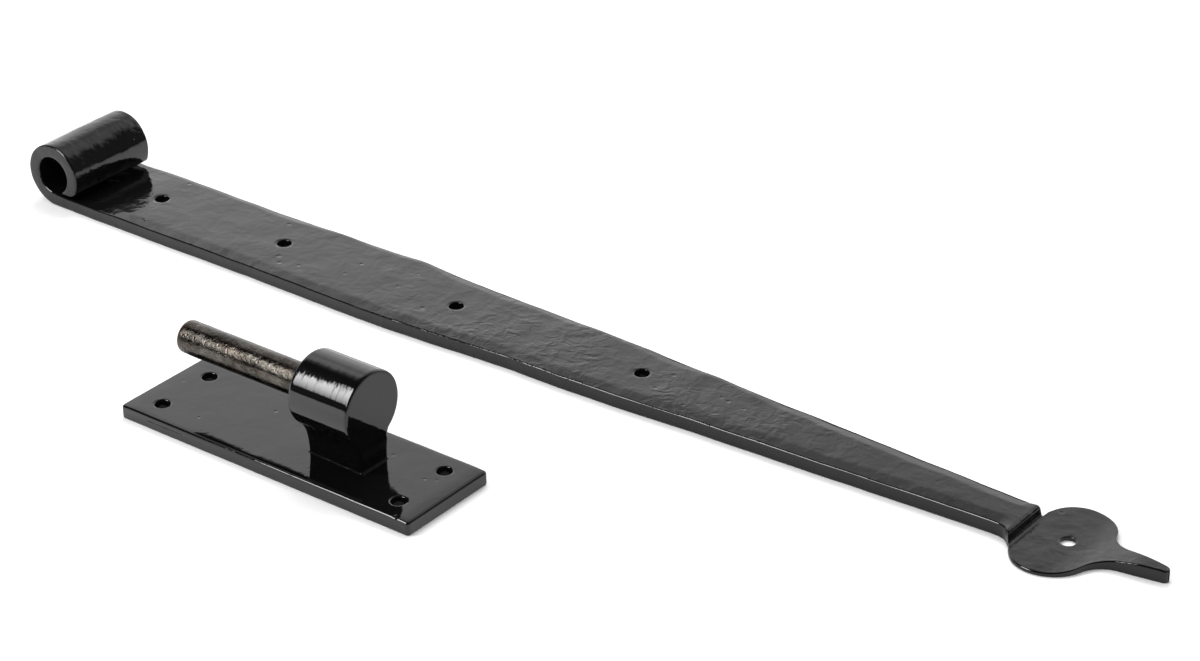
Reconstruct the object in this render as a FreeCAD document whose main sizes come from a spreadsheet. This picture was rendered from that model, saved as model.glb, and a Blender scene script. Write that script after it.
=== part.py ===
import FreeCAD, Part
import math
import os
from enum import IntEnum
from types import SimpleNamespace

import Sketcher

# A hook and band hinge for a gate, as it lies on a table before it is hung.
# All sizes are in millimetres. The origin is the centre of the band's eye,
# +X runs along the strap to its tip, +Y along the eye's axis and +Z up.

DRIVING_SIZES = (
    # Strap and eye of the band
    ("strap_width", 50.0),
    ("strap_thickness", 6.0),
    ("eye_bore_diameter", 18.5),
    ("eye_upset", 0.75),
    ("curl_gap", 2.0),
    ("curl_corner_radius", 3.5),
    ("scarf_radius", 100.0),
    ("parallel_length", 205.0),
    ("taper_blend_radius", 600.0),
    ("shoulder_reach", 526.0),
    ("shoulder_width", 20.4),
    ("shoulder_slope", 1.3),
    ("flare_near_radius", 6.0),
    ("flare_far_radius", 1.0),
    # Round end and tail of the band
    ("round_end_width", 54.0),
    ("round_end_thickness", 2.0),
    ("heel_setback", 1.6),
    ("heel_radius", 14.5),
    ("toe_radius", 18.0),
    ("neck_radius", 14.0),
    ("ramp_setback", 23.0),
    ("ramp_length", 18.0),
    ("tail_length", 23.0),
    ("tail_root_width", 11.6),
    ("tail_tip_width", 4.6),
    ("tail_corner_radius", 1.6),
    # Screw holes of the band
    ("strap_hole_diameter", 7.0),
    ("strap_hole_offset", 1.5),
    ("first_hole_reach", 46.0),
    ("first_hole_pitch", 79.0),
    ("strap_hole_pitch", 104.0),
    ("end_hole_diameter", 7.0),
    ("end_hole_setback", 19.0),
    # Soft edges of the band
    ("band_edge_radius", 0.9),
    ("thin_edge_radius", 0.5),
    # Back plate of the hook
    ("plate_length", 160.0),
    ("plate_width", 51.0),
    ("plate_thickness", 6.5),
    ("plate_corner_radius", 1.4),
    ("plate_edge_radius", 1.2),
    ("plate_hole_diameter", 7.0),
    ("plate_hole_pitch_x", 132.0),
    ("plate_hole_pitch_y", 29.0),
    # Boss of the hook
    ("boss_diameter", 33.0),
    ("boss_length", 31.8),
    ("boss_offset", 25.3),
    ("boss_edge_radius", 1.0),
    ("neck_width", 18.5),
    ("neck_inset", 1.6),
    ("neck_fillet_radius", 3.0),
    ("tenon_diameter", 12.0),
    ("rivet_head_diameter", 16.0),
    ("rivet_head_depth", 2.0),
    # Pin of the hook
    ("pin_diameter", 15.0),
    ("pin_reach", 72.0),
    ("spigot_diameter", 14.0),
    ("spigot_length", 22.0),
    ("pin_height", 34.3),
    ("pin_tip_radius", 1.6),
    # Where the hook lies beside the band
    ("hook_x", 250.0),
    ("hook_y", -126.0),
)

SHEET = "Sizes"
PARTS_FOLDER = "parts"

# How far apart two lengths may be and still count as the same
SLACK = 0.01

# The eye's wall is the strap's own thickness, upset a little as it is rolled
EYE_RADIUS = "({eye_bore_diameter} / 2 + {strap_thickness} + {eye_upset})"

# Places along the band, each measured on from the one before it
RAMP_START = "{shoulder_reach} + {ramp_setback}"
RAMP_END = RAMP_START + " + {ramp_length}"
TIP = RAMP_END + " + {tail_length}"


class Axis(IntEnum):
    """The axes of a sketch, as it numbers them. The X axis starts at the origin."""

    X = -1
    Y = -2


class Point(IntEnum):
    """The points of an edge, as a sketch numbers them."""

    START = 1
    END = 2
    CENTRE = 3


def eye_radius(sizes):
    """Work out the outer radius of the eye."""
    return sizes.eye_bore_diameter / 2 + sizes.strap_thickness + sizes.eye_upset


def places_along(sizes):
    """Work out where the ramp starts and ends, and where the tail's tip is."""
    ramp_start = sizes.shoulder_reach + sizes.ramp_setback
    ramp_end = ramp_start + sizes.ramp_length
    return SimpleNamespace(ramp_start=ramp_start, ramp_end=ramp_end, tip=ramp_end + sizes.tail_length)


def make_sheet(doc):
    """Write the driving sizes into a sheet, one row for each."""
    sheet = doc.addObject("Spreadsheet::Sheet", SHEET)
    for row, (alias, value) in enumerate(DRIVING_SIZES, start=1):
        sheet.set("A%d" % row, alias)
        sheet.set("B%d" % row, str(value))
        sheet.setAlias("B%d" % row, alias)
    doc.recompute()
    return sheet


def read_sizes(sheet):
    """Read every driving size back from the sheet."""
    return SimpleNamespace(**{alias: float(sheet.get(alias)) for alias, _ in DRIVING_SIZES})


def cell(formula):
    """Turn a formula of sizes in braces into one of cells: '{a} / 2' gives 'Sizes.a / 2'."""
    return formula.replace("{", SHEET + ".").replace("}", "")


def bind(item, **formulas):
    """Bind properties of an object to formulas of sizes."""
    for name, formula in formulas.items():
        item.setExpression(name, cell(formula))


def make_body(doc, label, **place):
    """Start one piece, with its own frame at a place given by formulas of sizes, or at the origin."""
    body = doc.addObject("PartDesign::Body", label)
    body.Label = label
    for axis, formula in place.items():
        body.setExpression("Placement.Base." + axis, cell(formula))
    return body


def origin_plane(body, role):
    """Find one of the three origin planes of a piece, such as XY_Plane."""
    return next(plane for plane in body.Origin.OriginFeatures if plane.Role == role)


def make_sketch(body, name, role, **offsets):
    """Attach an empty sketch to an origin plane of its piece, moved by formulas of sizes."""
    sketch = body.newObject("Sketcher::SketchObject", name)
    sketch.AttachmentSupport = [(origin_plane(body, role), "")]
    sketch.MapMode = "FlatFace"
    for axis, formula in offsets.items():
        sketch.setExpression("AttachmentOffset.Base." + axis, cell(formula))
    return sketch


class Pen:
    """Draws one closed outline in a sketch, edge after edge, and ties sizes to the sheet."""

    def __init__(self, sketch, start):
        self.sketch = sketch
        self.here = start
        self.ends = []

    def _join(self, edge, entry, leave, end):
        if self.ends:
            last, _, last_leave = self.ends[-1]
            self.sketch.addConstraint(Sketcher.Constraint("Coincident", last, last_leave, edge, entry))
        self.ends.append((edge, entry, leave))
        self.here = end

    def line_to(self, x, y):
        """Draw a straight edge and return its number."""
        segment = Part.LineSegment(FreeCAD.Vector(*self.here, 0), FreeCAD.Vector(x, y, 0))
        edge = self.sketch.addGeometry(segment, False)
        self._join(edge, Point.START, Point.END, (x, y))
        return edge

    def arc_to(self, x, y, centre, left):
        """Draw an arc about a centre, turning left or right, and return its number."""
        radius = math.dist(centre, (x, y))
        here_angle = math.atan2(self.here[1] - centre[1], self.here[0] - centre[0])
        end_angle = math.atan2(y - centre[1], x - centre[0])
        first, last = (here_angle, end_angle) if left else (end_angle, here_angle)
        circle = Part.Circle(FreeCAD.Vector(*centre, 0), FreeCAD.Vector(0, 0, 1), radius)
        if last <= first:
            last += math.tau
        edge = self.sketch.addGeometry(Part.ArcOfCircle(circle, first, last), False)
        entry, leave = (Point.START, Point.END) if left else (Point.END, Point.START)
        self._join(edge, entry, leave, (x, y))
        return edge

    def close(self):
        """Join the last edge to the first."""
        first, entry, _ = self.ends[0]
        last, _, leave = self.ends[-1]
        self.sketch.addConstraint(Sketcher.Constraint("Coincident", last, leave, first, entry))

    def bind_radius(self, edge, formula):
        """Tie the radius of an arc to the sheet."""
        radius = self.sketch.Geometry[edge].Radius
        index = self.sketch.addConstraint(Sketcher.Constraint("Radius", edge, radius))
        self.sketch.setExpression("Constraints[%d]" % index, cell(formula))

    def bind_end(self, edge, x=None, y=None):
        """Tie the place where an edge ends, measured from the sketch's origin, to the sheet."""
        leave = next(leave for number, _, leave in self.ends if number == edge)
        bind_point(self.sketch, edge, leave, x, y)


def bind_point(sketch, edge, point, x=None, y=None):
    """Tie one point of a sketch's edge to the sheet, along x, y or both."""
    place = sketch.getPoint(edge, point)
    for kind, value, formula in (("DistanceX", place.x, x), ("DistanceY", place.y, y)):
        if formula is not None:
            index = sketch.addConstraint(Sketcher.Constraint(kind, Axis.X, Point.START, edge, point, value))
            sketch.setExpression("Constraints[%d]" % index, cell(formula))


def draw_rectangle(sketch, left, low, right, high):
    """Draw a rectangle whose four sides are placed by formulas of sizes."""
    pen = Pen(sketch, (-1, -1))
    low_side = pen.line_to(1, -1)
    right_side = pen.line_to(1, 1)
    high_side = pen.line_to(-1, 1)
    left_side = pen.line_to(-1, -1)
    pen.close()
    for side in (low_side, high_side):
        sketch.addConstraint(Sketcher.Constraint("Horizontal", side))
    for side in (left_side, right_side):
        sketch.addConstraint(Sketcher.Constraint("Vertical", side))
    pen.bind_end(right_side, right, high)
    pen.bind_end(left_side, left, low)


def draw_circle(sketch, diameter, x=None, y=None):
    """Draw a circle placed by formulas of sizes; where one is left out, it is centred on that axis."""
    edge = sketch.addGeometry(Part.Circle(FreeCAD.Vector(0, 0, 0), FreeCAD.Vector(0, 0, 1), 1), False)
    for axis, formula in ((Axis.Y, x), (Axis.X, y)):
        if formula is None:
            sketch.addConstraint(Sketcher.Constraint("PointOnObject", edge, Point.CENTRE, axis))
    bind_point(sketch, edge, Point.CENTRE, x, y)
    index = sketch.addConstraint(Sketcher.Constraint("Diameter", edge, 2 * sketch.Geometry[edge].Radius))
    sketch.setExpression("Constraints[%d]" % index, cell(diameter))


def extrude(body, kind, name, sketch, **formulas):
    """Add a pad or pocket of a sketch, with its lengths bound to the sheet."""
    feature = body.newObject("PartDesign::" + kind, name)
    feature.Profile = sketch
    bind(feature, **formulas)
    sketch.Visibility = False
    return feature


def cut_through(body, name, sketch):
    """Cut a sketch right through a piece, both ways."""
    pocket = body.newObject("PartDesign::Pocket", name)
    pocket.Profile = sketch
    pocket.Type = "ThroughAll"
    pocket.SideType = "Symmetric"
    return pocket


def round_edges(body, name, base, radius, wanted):
    """Round each edge of a feature whose shape passes a test."""
    body.Document.recompute()
    names = ["Edge%d" % number for number, edge in enumerate(base.Shape.Edges, start=1) if wanted(edge)]
    fillet = body.newObject("PartDesign::Fillet", name)
    fillet.Base = (base, names)
    bind(fillet, Radius=radius)
    return fillet


def middle(edge):
    """The point halfway along an edge."""
    first, last = edge.ParameterRange
    return edge.valueAt((first + last) / 2)


def near(value, target):
    """Whether two lengths are the same within a small slack."""
    return abs(value - target) < SLACK


def level_at(edge, height):
    """Whether an edge lies flat at one height."""
    ends = (edge.valueAt(edge.FirstParameter), edge.valueAt(edge.LastParameter))
    return all(near(place.z, height) for place in (*ends, middle(edge)))


# The band: a strap rolled into an eye, with a shoulder, a round end and a tail


def draw_side_profile(sketch, sizes):
    """Draw the band from the side: eye, strap, shoulder, thin round end, ramp and tail."""
    outer = eye_radius(sizes)
    bore = sizes.eye_bore_diameter / 2
    top = sizes.strap_thickness - outer
    thin_top = sizes.round_end_thickness - outer
    rise = top - thin_top
    ramp_radius = (sizes.ramp_length ** 2 + rise ** 2) / (4 * rise)
    along = places_along(sizes)

    # The curl ends in a flat face over the strap, with its outer corner rounded
    curl_end = top + sizes.curl_gap
    corner = sizes.curl_corner_radius
    corner_y = curl_end + corner
    corner_x = math.sqrt((outer - corner) ** 2 - corner_y ** 2)
    corner_share = outer / (outer - corner)

    # The strap's top runs up a little in a wide arc that touches the bore
    scarf_height = sizes.scarf_radius + top
    scarf_x = math.sqrt((sizes.scarf_radius - bore) ** 2 - scarf_height ** 2)
    scarf_share = -bore / (sizes.scarf_radius - bore)

    pen = Pen(sketch, (0, -outer))
    underside = pen.line_to(along.tip, -outer)
    tail_end = pen.line_to(along.tip, top)
    tail_top = pen.line_to(along.ramp_end, top)
    halfway = (along.ramp_end - sizes.ramp_length / 2, (top + thin_top) / 2)
    pen.arc_to(*halfway, (along.ramp_end, top - ramp_radius), True)
    trough = pen.arc_to(along.ramp_start, thin_top, (along.ramp_start, thin_top + ramp_radius), False)
    thin_face = pen.line_to(sizes.shoulder_reach + sizes.shoulder_slope, thin_top)
    shoulder = pen.line_to(sizes.shoulder_reach, top)
    strap_top = pen.line_to(scarf_x, top)
    scarf = pen.arc_to(scarf_x * scarf_share, scarf_height * scarf_share, (scarf_x, scarf_height), False)
    bore_arc = pen.arc_to(math.sqrt(bore ** 2 - curl_end ** 2), curl_end, (0, 0), False)
    curl_face = pen.line_to(corner_x, curl_end)
    curl_corner = pen.arc_to(corner_x * corner_share, corner_y * corner_share, (corner_x, corner_y), True)
    pen.arc_to(0, -outer, (0, 0), True)
    pen.close()

    pen.bind_end(underside, TIP, "-" + EYE_RADIUS)
    pen.bind_end(tail_end, TIP, "{strap_thickness} - " + EYE_RADIUS)
    pen.bind_end(tail_top, RAMP_END, "{strap_thickness} - " + EYE_RADIUS)
    pen.bind_end(trough, RAMP_START, "{round_end_thickness} - " + EYE_RADIUS)
    pen.bind_end(thin_face, "{shoulder_reach} + {shoulder_slope}", "{round_end_thickness} - " + EYE_RADIUS)
    pen.bind_end(shoulder, "{shoulder_reach}", "{strap_thickness} - " + EYE_RADIUS)
    pen.bind_end(strap_top, y="{strap_thickness} - " + EYE_RADIUS)
    pen.bind_radius(scarf, "{scarf_radius}")
    pen.bind_radius(bore_arc, "{eye_bore_diameter} / 2")
    pen.bind_end(curl_face, y="{strap_thickness} + {curl_gap} - " + EYE_RADIUS)
    pen.bind_radius(curl_corner, "{curl_corner_radius}")


def side_points(sizes, flare_radius):
    """Work out where the arcs of one side of the band's plan meet, for y at or above zero.

    The side runs from the strap over a soft bend into the taper, a concave flare, the heel
    and the toe of the round end, and a concave neck to the straight side of the tail.
    """
    heel_centre = (
        sizes.shoulder_reach + sizes.heel_setback + sizes.heel_radius,
        sizes.round_end_width / 2 - sizes.heel_radius,
    )
    toe_centre = (heel_centre[0], sizes.round_end_width / 2 - sizes.toe_radius)

    # Straight side of the strap's taper, and its direction
    start = (sizes.parallel_length, sizes.strap_width / 2)
    end = (sizes.shoulder_reach, sizes.shoulder_width / 2)
    flare_centre, flare_start = touch_line_and_circle(start, end, heel_centre, sizes.heel_radius, flare_radius, -1)
    flare_end = towards(heel_centre, flare_centre, sizes.heel_radius)

    # The bend from the strap's parallel stretch into the taper
    turn = math.atan2(start[1] - end[1], end[0] - start[0])
    bend_length = sizes.taper_blend_radius * math.tan(turn / 2)

    # Straight side of the tail, and the neck between it and the toe
    along = places_along(sizes)
    root = (along.ramp_end, sizes.tail_root_width / 2)
    tip = (along.tip, sizes.tail_tip_width / 2)
    neck_centre, neck_end = touch_line_and_circle(root, tip, toe_centre, sizes.toe_radius, sizes.neck_radius, 1)
    neck_start = towards(toe_centre, neck_centre, sizes.toe_radius)
    return SimpleNamespace(
        bend_centre=(start[0] - bend_length, start[1] - sizes.taper_blend_radius),
        bend_start=(start[0] - bend_length, start[1]),
        bend_end=towards(start, end, bend_length),
        heel_centre=heel_centre,
        toe_centre=toe_centre,
        crown=(heel_centre[0], sizes.round_end_width / 2),
        flare_centre=flare_centre,
        flare_start=flare_start,
        flare_end=flare_end,
        neck_centre=neck_centre,
        neck_start=neck_start,
        neck_end=neck_end,
        tip=tip,
    )


def touch_line_and_circle(start, end, centre, radius, fillet, side):
    """Find a concave arc that touches a straight side and a round one from outside.

    Returns its centre and the point where it touches the straight side. The straight
    side runs from start to end with the metal below it, and the arc lies before the
    round side (side -1) or after it (side 1).
    """
    length = math.dist(start, end)
    along = ((end[0] - start[0]) / length, (end[1] - start[1]) / length)
    outward = (-along[1], along[0])
    base = (start[0] + outward[0] * fillet, start[1] + outward[1] * fillet)
    offset = (base[0] - centre[0], base[1] - centre[1])
    middle_term = offset[0] * along[0] + offset[1] * along[1]
    rest = offset[0] ** 2 + offset[1] ** 2 - (radius + fillet) ** 2
    step = -middle_term + side * math.sqrt(middle_term ** 2 - rest)
    found = (base[0] + along[0] * step, base[1] + along[1] * step)
    return found, (found[0] - outward[0] * fillet, found[1] - outward[1] * fillet)


def towards(start, target, distance):
    """The point at a distance from start on the way to target."""
    share = distance / math.dist(start, target)
    return (start[0] + (target[0] - start[0]) * share, start[1] + (target[1] - start[1]) * share)


def mirrored(point):
    """The same point on the near side of the centre line."""
    return (point[0], -point[1])


def draw_plan(sketch, sizes):
    """Draw what lies outside the band seen from above: a wide frame around its outline."""
    draw_rectangle(
        sketch, "-4 * " + EYE_RADIUS, "-{strap_width} - {round_end_width}",
        TIP + " + 2 * " + EYE_RADIUS, "{strap_width} + {round_end_width}",
    )
    half_width = sizes.strap_width / 2
    eye_end = -2 * eye_radius(sizes)
    near_side = side_points(sizes, sizes.flare_near_radius)
    far_side = side_points(sizes, sizes.flare_far_radius)
    tail_corner = sizes.tail_corner_radius
    tip_x, tip_half = far_side.tip
    corner_y = tip_half - tail_corner

    pen = Pen(sketch, (eye_end, -half_width))
    near_edge = pen.line_to(*mirrored(near_side.bend_start))
    near_bend = pen.arc_to(*mirrored(near_side.bend_end), mirrored(near_side.bend_centre), True)
    pen.line_to(*mirrored(near_side.flare_start))
    near_flare = pen.arc_to(*mirrored(near_side.flare_end), mirrored(near_side.flare_centre), False)
    near_heel = pen.arc_to(*mirrored(near_side.crown), mirrored(near_side.heel_centre), True)
    near_toe = pen.arc_to(*mirrored(near_side.neck_start), mirrored(near_side.toe_centre), True)
    near_neck = pen.arc_to(*mirrored(near_side.neck_end), mirrored(near_side.neck_centre), False)
    pen.line_to(tip_x - tail_corner, -tip_half)
    near_tip = pen.arc_to(tip_x, -corner_y, (tip_x - tail_corner, -corner_y), True)
    pen.line_to(tip_x, corner_y)
    far_tip = pen.arc_to(tip_x - tail_corner, tip_half, (tip_x - tail_corner, corner_y), True)
    pen.line_to(*far_side.neck_end)
    far_neck = pen.arc_to(*far_side.neck_start, far_side.neck_centre, False)
    far_toe = pen.arc_to(*far_side.crown, far_side.toe_centre, True)
    far_heel = pen.arc_to(*far_side.flare_end, far_side.heel_centre, True)
    far_flare = pen.arc_to(*far_side.flare_start, far_side.flare_centre, False)
    pen.line_to(*far_side.bend_end)
    far_bend = pen.arc_to(*far_side.bend_start, far_side.bend_centre, True)
    pen.line_to(eye_end, half_width)
    pen.line_to(eye_end, -half_width)
    pen.close()

    pen.bind_end(near_edge, y="-{strap_width} / 2")
    pen.bind_end(far_bend, y="{strap_width} / 2")
    pen.bind_end(near_heel, y="-{round_end_width} / 2")
    pen.bind_end(far_toe, y="{round_end_width} / 2")
    for bend in (near_bend, far_bend):
        pen.bind_radius(bend, "{taper_blend_radius}")
    pen.bind_radius(near_flare, "{flare_near_radius}")
    pen.bind_radius(far_flare, "{flare_far_radius}")
    for heel in (near_heel, far_heel):
        pen.bind_radius(heel, "{heel_radius}")
    for toe in (near_toe, far_toe):
        pen.bind_radius(toe, "{toe_radius}")
    for neck in (near_neck, far_neck):
        pen.bind_radius(neck, "{neck_radius}")
    for tip in (near_tip, far_tip):
        pen.bind_radius(tip, "{tail_corner_radius}")


def make_band(doc, sizes):
    """Build the band: one forged bar, rolled into an eye and drawn out to a round end and a tail."""
    body = make_body(doc, "band")
    outer = eye_radius(sizes)
    top = sizes.strap_thickness - outer
    thin_top = sizes.round_end_thickness - outer

    profile = make_sketch(body, "side_profile", "XZ_Plane")
    draw_side_profile(profile, sizes)
    blank = extrude(body, "Pad", "bar", profile, Length="{strap_width} + {round_end_width}")
    blank.SideType = "Symmetric"

    plan = make_sketch(body, "plan_outline", "XY_Plane")
    draw_plan(plan, sizes)
    cut = cut_through(body, "plan_cut", plan)

    def on_eye_rim(edge):
        """The outer rims of the eye; the rounding runs on from them round the whole underside."""
        place = middle(edge)
        round_rim = edge.Curve.TypeId == "Part::GeomCircle" and near(edge.Curve.Radius, outer)
        return round_rim and near(abs(place.y), sizes.strap_width / 2)

    def on_strap_top(edge):
        """The upper edges of the strap and the crest of its shoulder."""
        return level_at(edge, top) and outer < middle(edge).x < sizes.shoulder_reach + sizes.shoulder_slope

    soft = round_edges(
        body, "soft_edges", cut, "{band_edge_radius}", lambda edge: on_eye_rim(edge) or on_strap_top(edge)
    )

    def on_thin_rim(edge):
        """The upper rim of the thin round end; the rounding runs on from it up the ramp to the tail."""
        return level_at(edge, thin_top) and abs(middle(edge).y) > sizes.shoulder_width / 2

    round_edges(body, "thin_edges", soft, "{thin_edge_radius}", on_thin_rim)

    holes = make_sketch(body, "screw_holes", "XY_Plane")
    reach = "{first_hole_reach}"
    for step in ("", " + {first_hole_pitch}", " + {strap_hole_pitch}", " + {strap_hole_pitch}"):
        reach += step
        draw_circle(holes, "{strap_hole_diameter}", reach, "{strap_hole_offset}")
    draw_circle(holes, "{end_hole_diameter}", "{shoulder_reach} + {end_hole_setback}")
    cut_through(body, "drilled", holes)
    return body


# The hook: a back plate, a boss riveted through it, and a pin pressed into the boss


def make_back_plate(doc, sizes):
    """Build the back plate, with four screw holes and the countersunk hole for the boss's tenon."""
    body = make_body(doc, "back_plate", x="{hook_x}", y="{hook_y}", z="-" + EYE_RADIUS)

    outline = make_sketch(body, "plate_outline", "XY_Plane")
    draw_rectangle(
        outline, "-{plate_length} / 2", "-{plate_width} / 2", "{plate_length} / 2", "{plate_width} / 2"
    )
    slab = extrude(body, "Pad", "slab", outline, Length="{plate_thickness}")

    corners = round_edges(
        body, "plate_corners", slab, "{plate_corner_radius}",
        lambda edge: near(middle(edge).z, sizes.plate_thickness / 2),
    )
    round_edges(
        body, "plate_edges", corners, "{plate_edge_radius}",
        lambda edge: level_at(edge, sizes.plate_thickness),
    )

    holes = make_sketch(body, "plate_holes", "XY_Plane")
    for x_sign in ("-", ""):
        for y_sign in ("-", ""):
            x = x_sign + "{plate_hole_pitch_x} / 2"
            y = y_sign + "{plate_hole_pitch_y} / 2"
            draw_circle(holes, "{plate_hole_diameter}", x, y)
    cut_through(body, "drilled_plate", holes)

    seat = make_sketch(body, "tenon_seat", "XZ_Plane", x="{boss_offset}")
    draw_tenon(seat, sizes)
    groove = body.newObject("PartDesign::Groove", "tenon_hole")
    groove.Profile = seat
    groove.ReferenceAxis = (seat, ["V_Axis"])
    return body


def draw_tenon(sketch, sizes):
    """Draw half of the tenon's section, up from the plate's back: a riveted head, then a straight shank."""
    shank = sizes.tenon_diameter / 2
    head = sizes.rivet_head_diameter / 2
    pen = Pen(sketch, (0, 0))
    back = pen.line_to(head, 0)
    cone = pen.line_to(shank, sizes.rivet_head_depth)
    wall = pen.line_to(shank, sizes.plate_thickness)
    pen.line_to(0, sizes.plate_thickness)
    pen.line_to(0, 0)
    pen.close()
    pen.bind_end(back, "{rivet_head_diameter} / 2")
    pen.bind_end(cone, "{tenon_diameter} / 2", "{rivet_head_depth}")
    pen.bind_end(wall, "{tenon_diameter} / 2", "{plate_thickness}")


def make_boss(doc, sizes):
    """Build the boss: a lying barrel on a neck, with a blind bore and a tenon riveted through the plate."""
    body = make_body(
        doc, "boss", x="{hook_x} + {boss_offset}", y="{hook_y}", z="{plate_thickness} - " + EYE_RADIUS
    )
    barrel_height = "{pin_height} - {plate_thickness}"

    barrel = make_sketch(body, "barrel_section", "YZ_Plane")
    draw_circle(barrel, "{boss_diameter}", y=barrel_height)
    pad = extrude(body, "Pad", "barrel", barrel, Length="{boss_length}")
    pad.SideType = "Symmetric"

    neck = make_sketch(body, "neck_plan", "XY_Plane")
    draw_rectangle(
        neck, "{neck_inset} - {boss_length} / 2", "-{neck_width} / 2", "{boss_length} / 2", "{neck_width} / 2"
    )
    column = extrude(body, "Pad", "neck", neck, Length=barrel_height)

    def under_barrel(edge):
        """The two straight inner edges where the neck's sides meet the barrel."""
        place = middle(edge)
        beside = near(abs(place.y), sizes.neck_width / 2)
        return beside and place.z > SLACK and level_at(edge, place.z)

    blended = round_edges(body, "neck_fillets", column, "{neck_fillet_radius}", under_barrel)

    def on_end_faces(edge):
        """The rims of both end faces, down the neck to the foot."""
        place = middle(edge)
        return near(abs(place.x), sizes.boss_length / 2) and place.z > SLACK

    round_edges(body, "boss_edges", blended, "{boss_edge_radius}", on_end_faces)

    bore = make_sketch(body, "bore_section", "YZ_Plane", z="-{boss_length} / 2")
    draw_circle(bore, "{spigot_diameter}", y=barrel_height)
    blind_bore = extrude(body, "Pocket", "spigot_bore", bore, Length="{spigot_length}")
    blind_bore.Reversed = True

    section = make_sketch(body, "tenon_section", "XZ_Plane", y="-{plate_thickness}")
    draw_tenon(section, sizes)
    tenon = body.newObject("PartDesign::Revolution", "tenon")
    tenon.Profile = section
    tenon.ReferenceAxis = (section, ["V_Axis"])
    return body


def make_pin(doc, sizes):
    """Build the pin: a round bar with a softened tip, and a turned spigot that fills the boss's bore."""
    body = make_body(
        doc, "pin", x="{hook_x} + {boss_offset} - {boss_length} / 2", y="{hook_y}",
        z="{pin_height} - " + EYE_RADIUS,
    )
    section = make_sketch(body, "pin_section", "YZ_Plane")
    draw_circle(section, "{pin_diameter}")
    rod = extrude(body, "Pad", "rod", section, Length="{pin_reach}")
    rod.Reversed = True
    round_edges(
        body, "pin_tip", rod, "{pin_tip_radius}", lambda edge: near(middle(edge).x, -sizes.pin_reach)
    )

    spigot = make_sketch(body, "spigot_section", "YZ_Plane")
    draw_circle(spigot, "{spigot_diameter}")
    extrude(body, "Pad", "spigot", spigot, Length="{spigot_length}")
    return body


def check(doc, bodies):
    """Stop if any object failed, or any piece is empty, broken or not one solid."""
    for item in doc.Objects:
        faults = {"Invalid", "Error"} & set(item.State)
        if faults:
            raise RuntimeError("%s is %s" % (item.Name, ", ".join(sorted(faults))))
    for body in bodies:
        shape = body.Shape
        if shape.isNull() or not shape.isValid() or len(shape.Solids) != 1:
            raise RuntimeError("%s has no single valid solid" % body.Label)


def main():
    """Build every piece of the hinge and write one file for each."""
    doc = FreeCAD.newDocument("hook_and_band_hinge")
    sizes = read_sizes(make_sheet(doc))
    bodies = [maker(doc, sizes) for maker in (make_band, make_back_plate, make_boss, make_pin)]
    doc.recompute()
    check(doc, bodies)
    os.makedirs(PARTS_FOLDER, exist_ok=True)
    for body in bodies:
        body.Shape.exportStep(os.path.join(PARTS_FOLDER, body.Label + ".step"))
        box = body.Shape.BoundBox
        print("%s: %.0f mm3, %s" % (body.Label, body.Shape.Volume, box))


main()
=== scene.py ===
import logging
import math
from collections.abc import Callable
from dataclasses import dataclass
from enum import Enum
from functools import reduce

import bmesh
import bpy
import numpy as np
from mathutils import Matrix, Vector, noise


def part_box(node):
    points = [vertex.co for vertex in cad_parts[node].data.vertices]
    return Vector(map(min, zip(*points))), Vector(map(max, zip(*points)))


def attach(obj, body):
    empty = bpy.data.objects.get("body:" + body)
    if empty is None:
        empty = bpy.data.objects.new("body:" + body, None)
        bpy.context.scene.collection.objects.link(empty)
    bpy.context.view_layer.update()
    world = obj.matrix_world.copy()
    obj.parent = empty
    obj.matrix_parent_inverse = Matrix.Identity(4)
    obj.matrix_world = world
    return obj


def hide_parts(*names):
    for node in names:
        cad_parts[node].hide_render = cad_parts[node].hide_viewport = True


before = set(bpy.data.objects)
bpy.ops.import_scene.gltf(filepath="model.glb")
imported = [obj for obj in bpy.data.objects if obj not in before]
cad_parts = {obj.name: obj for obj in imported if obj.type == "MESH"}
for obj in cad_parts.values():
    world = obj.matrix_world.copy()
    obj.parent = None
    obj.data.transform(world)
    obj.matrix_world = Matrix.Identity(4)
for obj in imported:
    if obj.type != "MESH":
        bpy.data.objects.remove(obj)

# A forged gate hinge: a long band with a rolled eye, and its hook lying beside it.
# Sizes here are in millimetres in the model's own frame, and become metres in the meshes.
# Across the strap, the near side is that of -Y, where the hook lies, and the far side is that of +Y.

MM = 0.001
LOG = logging.getLogger("hinge")
WHITE = (1, 1, 1, 1)
BUSY = "busy"
RUST = "rust"

Point = tuple[float, float]
Table = tuple[Point, ...]
Socket = bpy.types.NodeSocket


class Slot(Enum):
    """The record's material slots."""

    BAND = "band_paint"
    PLATE = "plate_paint"
    BOSS = "boss_paint"
    STEEL = "bare_steel"


class Node(Enum):
    """The CAD nodes, each replaced by one finished piece."""

    BAND = "band"
    PLATE = "back_plate"
    BOSS = "boss"
    PIN = "pin"


class Axis(Enum):
    """The ways that a turned piece can lie."""

    X = "x"
    Z = "z"


class Work(Enum):
    """What a tool does to a piece."""

    CUT = "DIFFERENCE"
    JOIN = "UNION"


# Numbers


def clamp(value: float) -> float:
    """Hold a number between 0 and 1."""
    return min(max(value, 0.0), 1.0)


def ease(share: float) -> float:
    """Turn a share of a way into one that starts and ends gently."""
    return share * share * (3 - 2 * share)


def read_table(place: float, table: Table) -> float:
    """Read a value at a place between the entries of a table."""
    return float(np.interp(place, *zip(*table)))


def quarter_round(radius: float) -> list[Point]:
    """Points along a rounded edge, as how far each lies along from the end and in from the side."""
    return [(radius * (1 - math.cos(a)), radius * (1 - math.sin(a))) for a in np.linspace(0, math.pi / 2, 9)]


def rounded_fall(radius: float, inset: float) -> float:
    """How far a rounded edge has fallen at a distance in from its end."""
    return radius - math.sqrt(max(radius ** 2 - max(radius - inset, 0.0) ** 2, 0.0))


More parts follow.
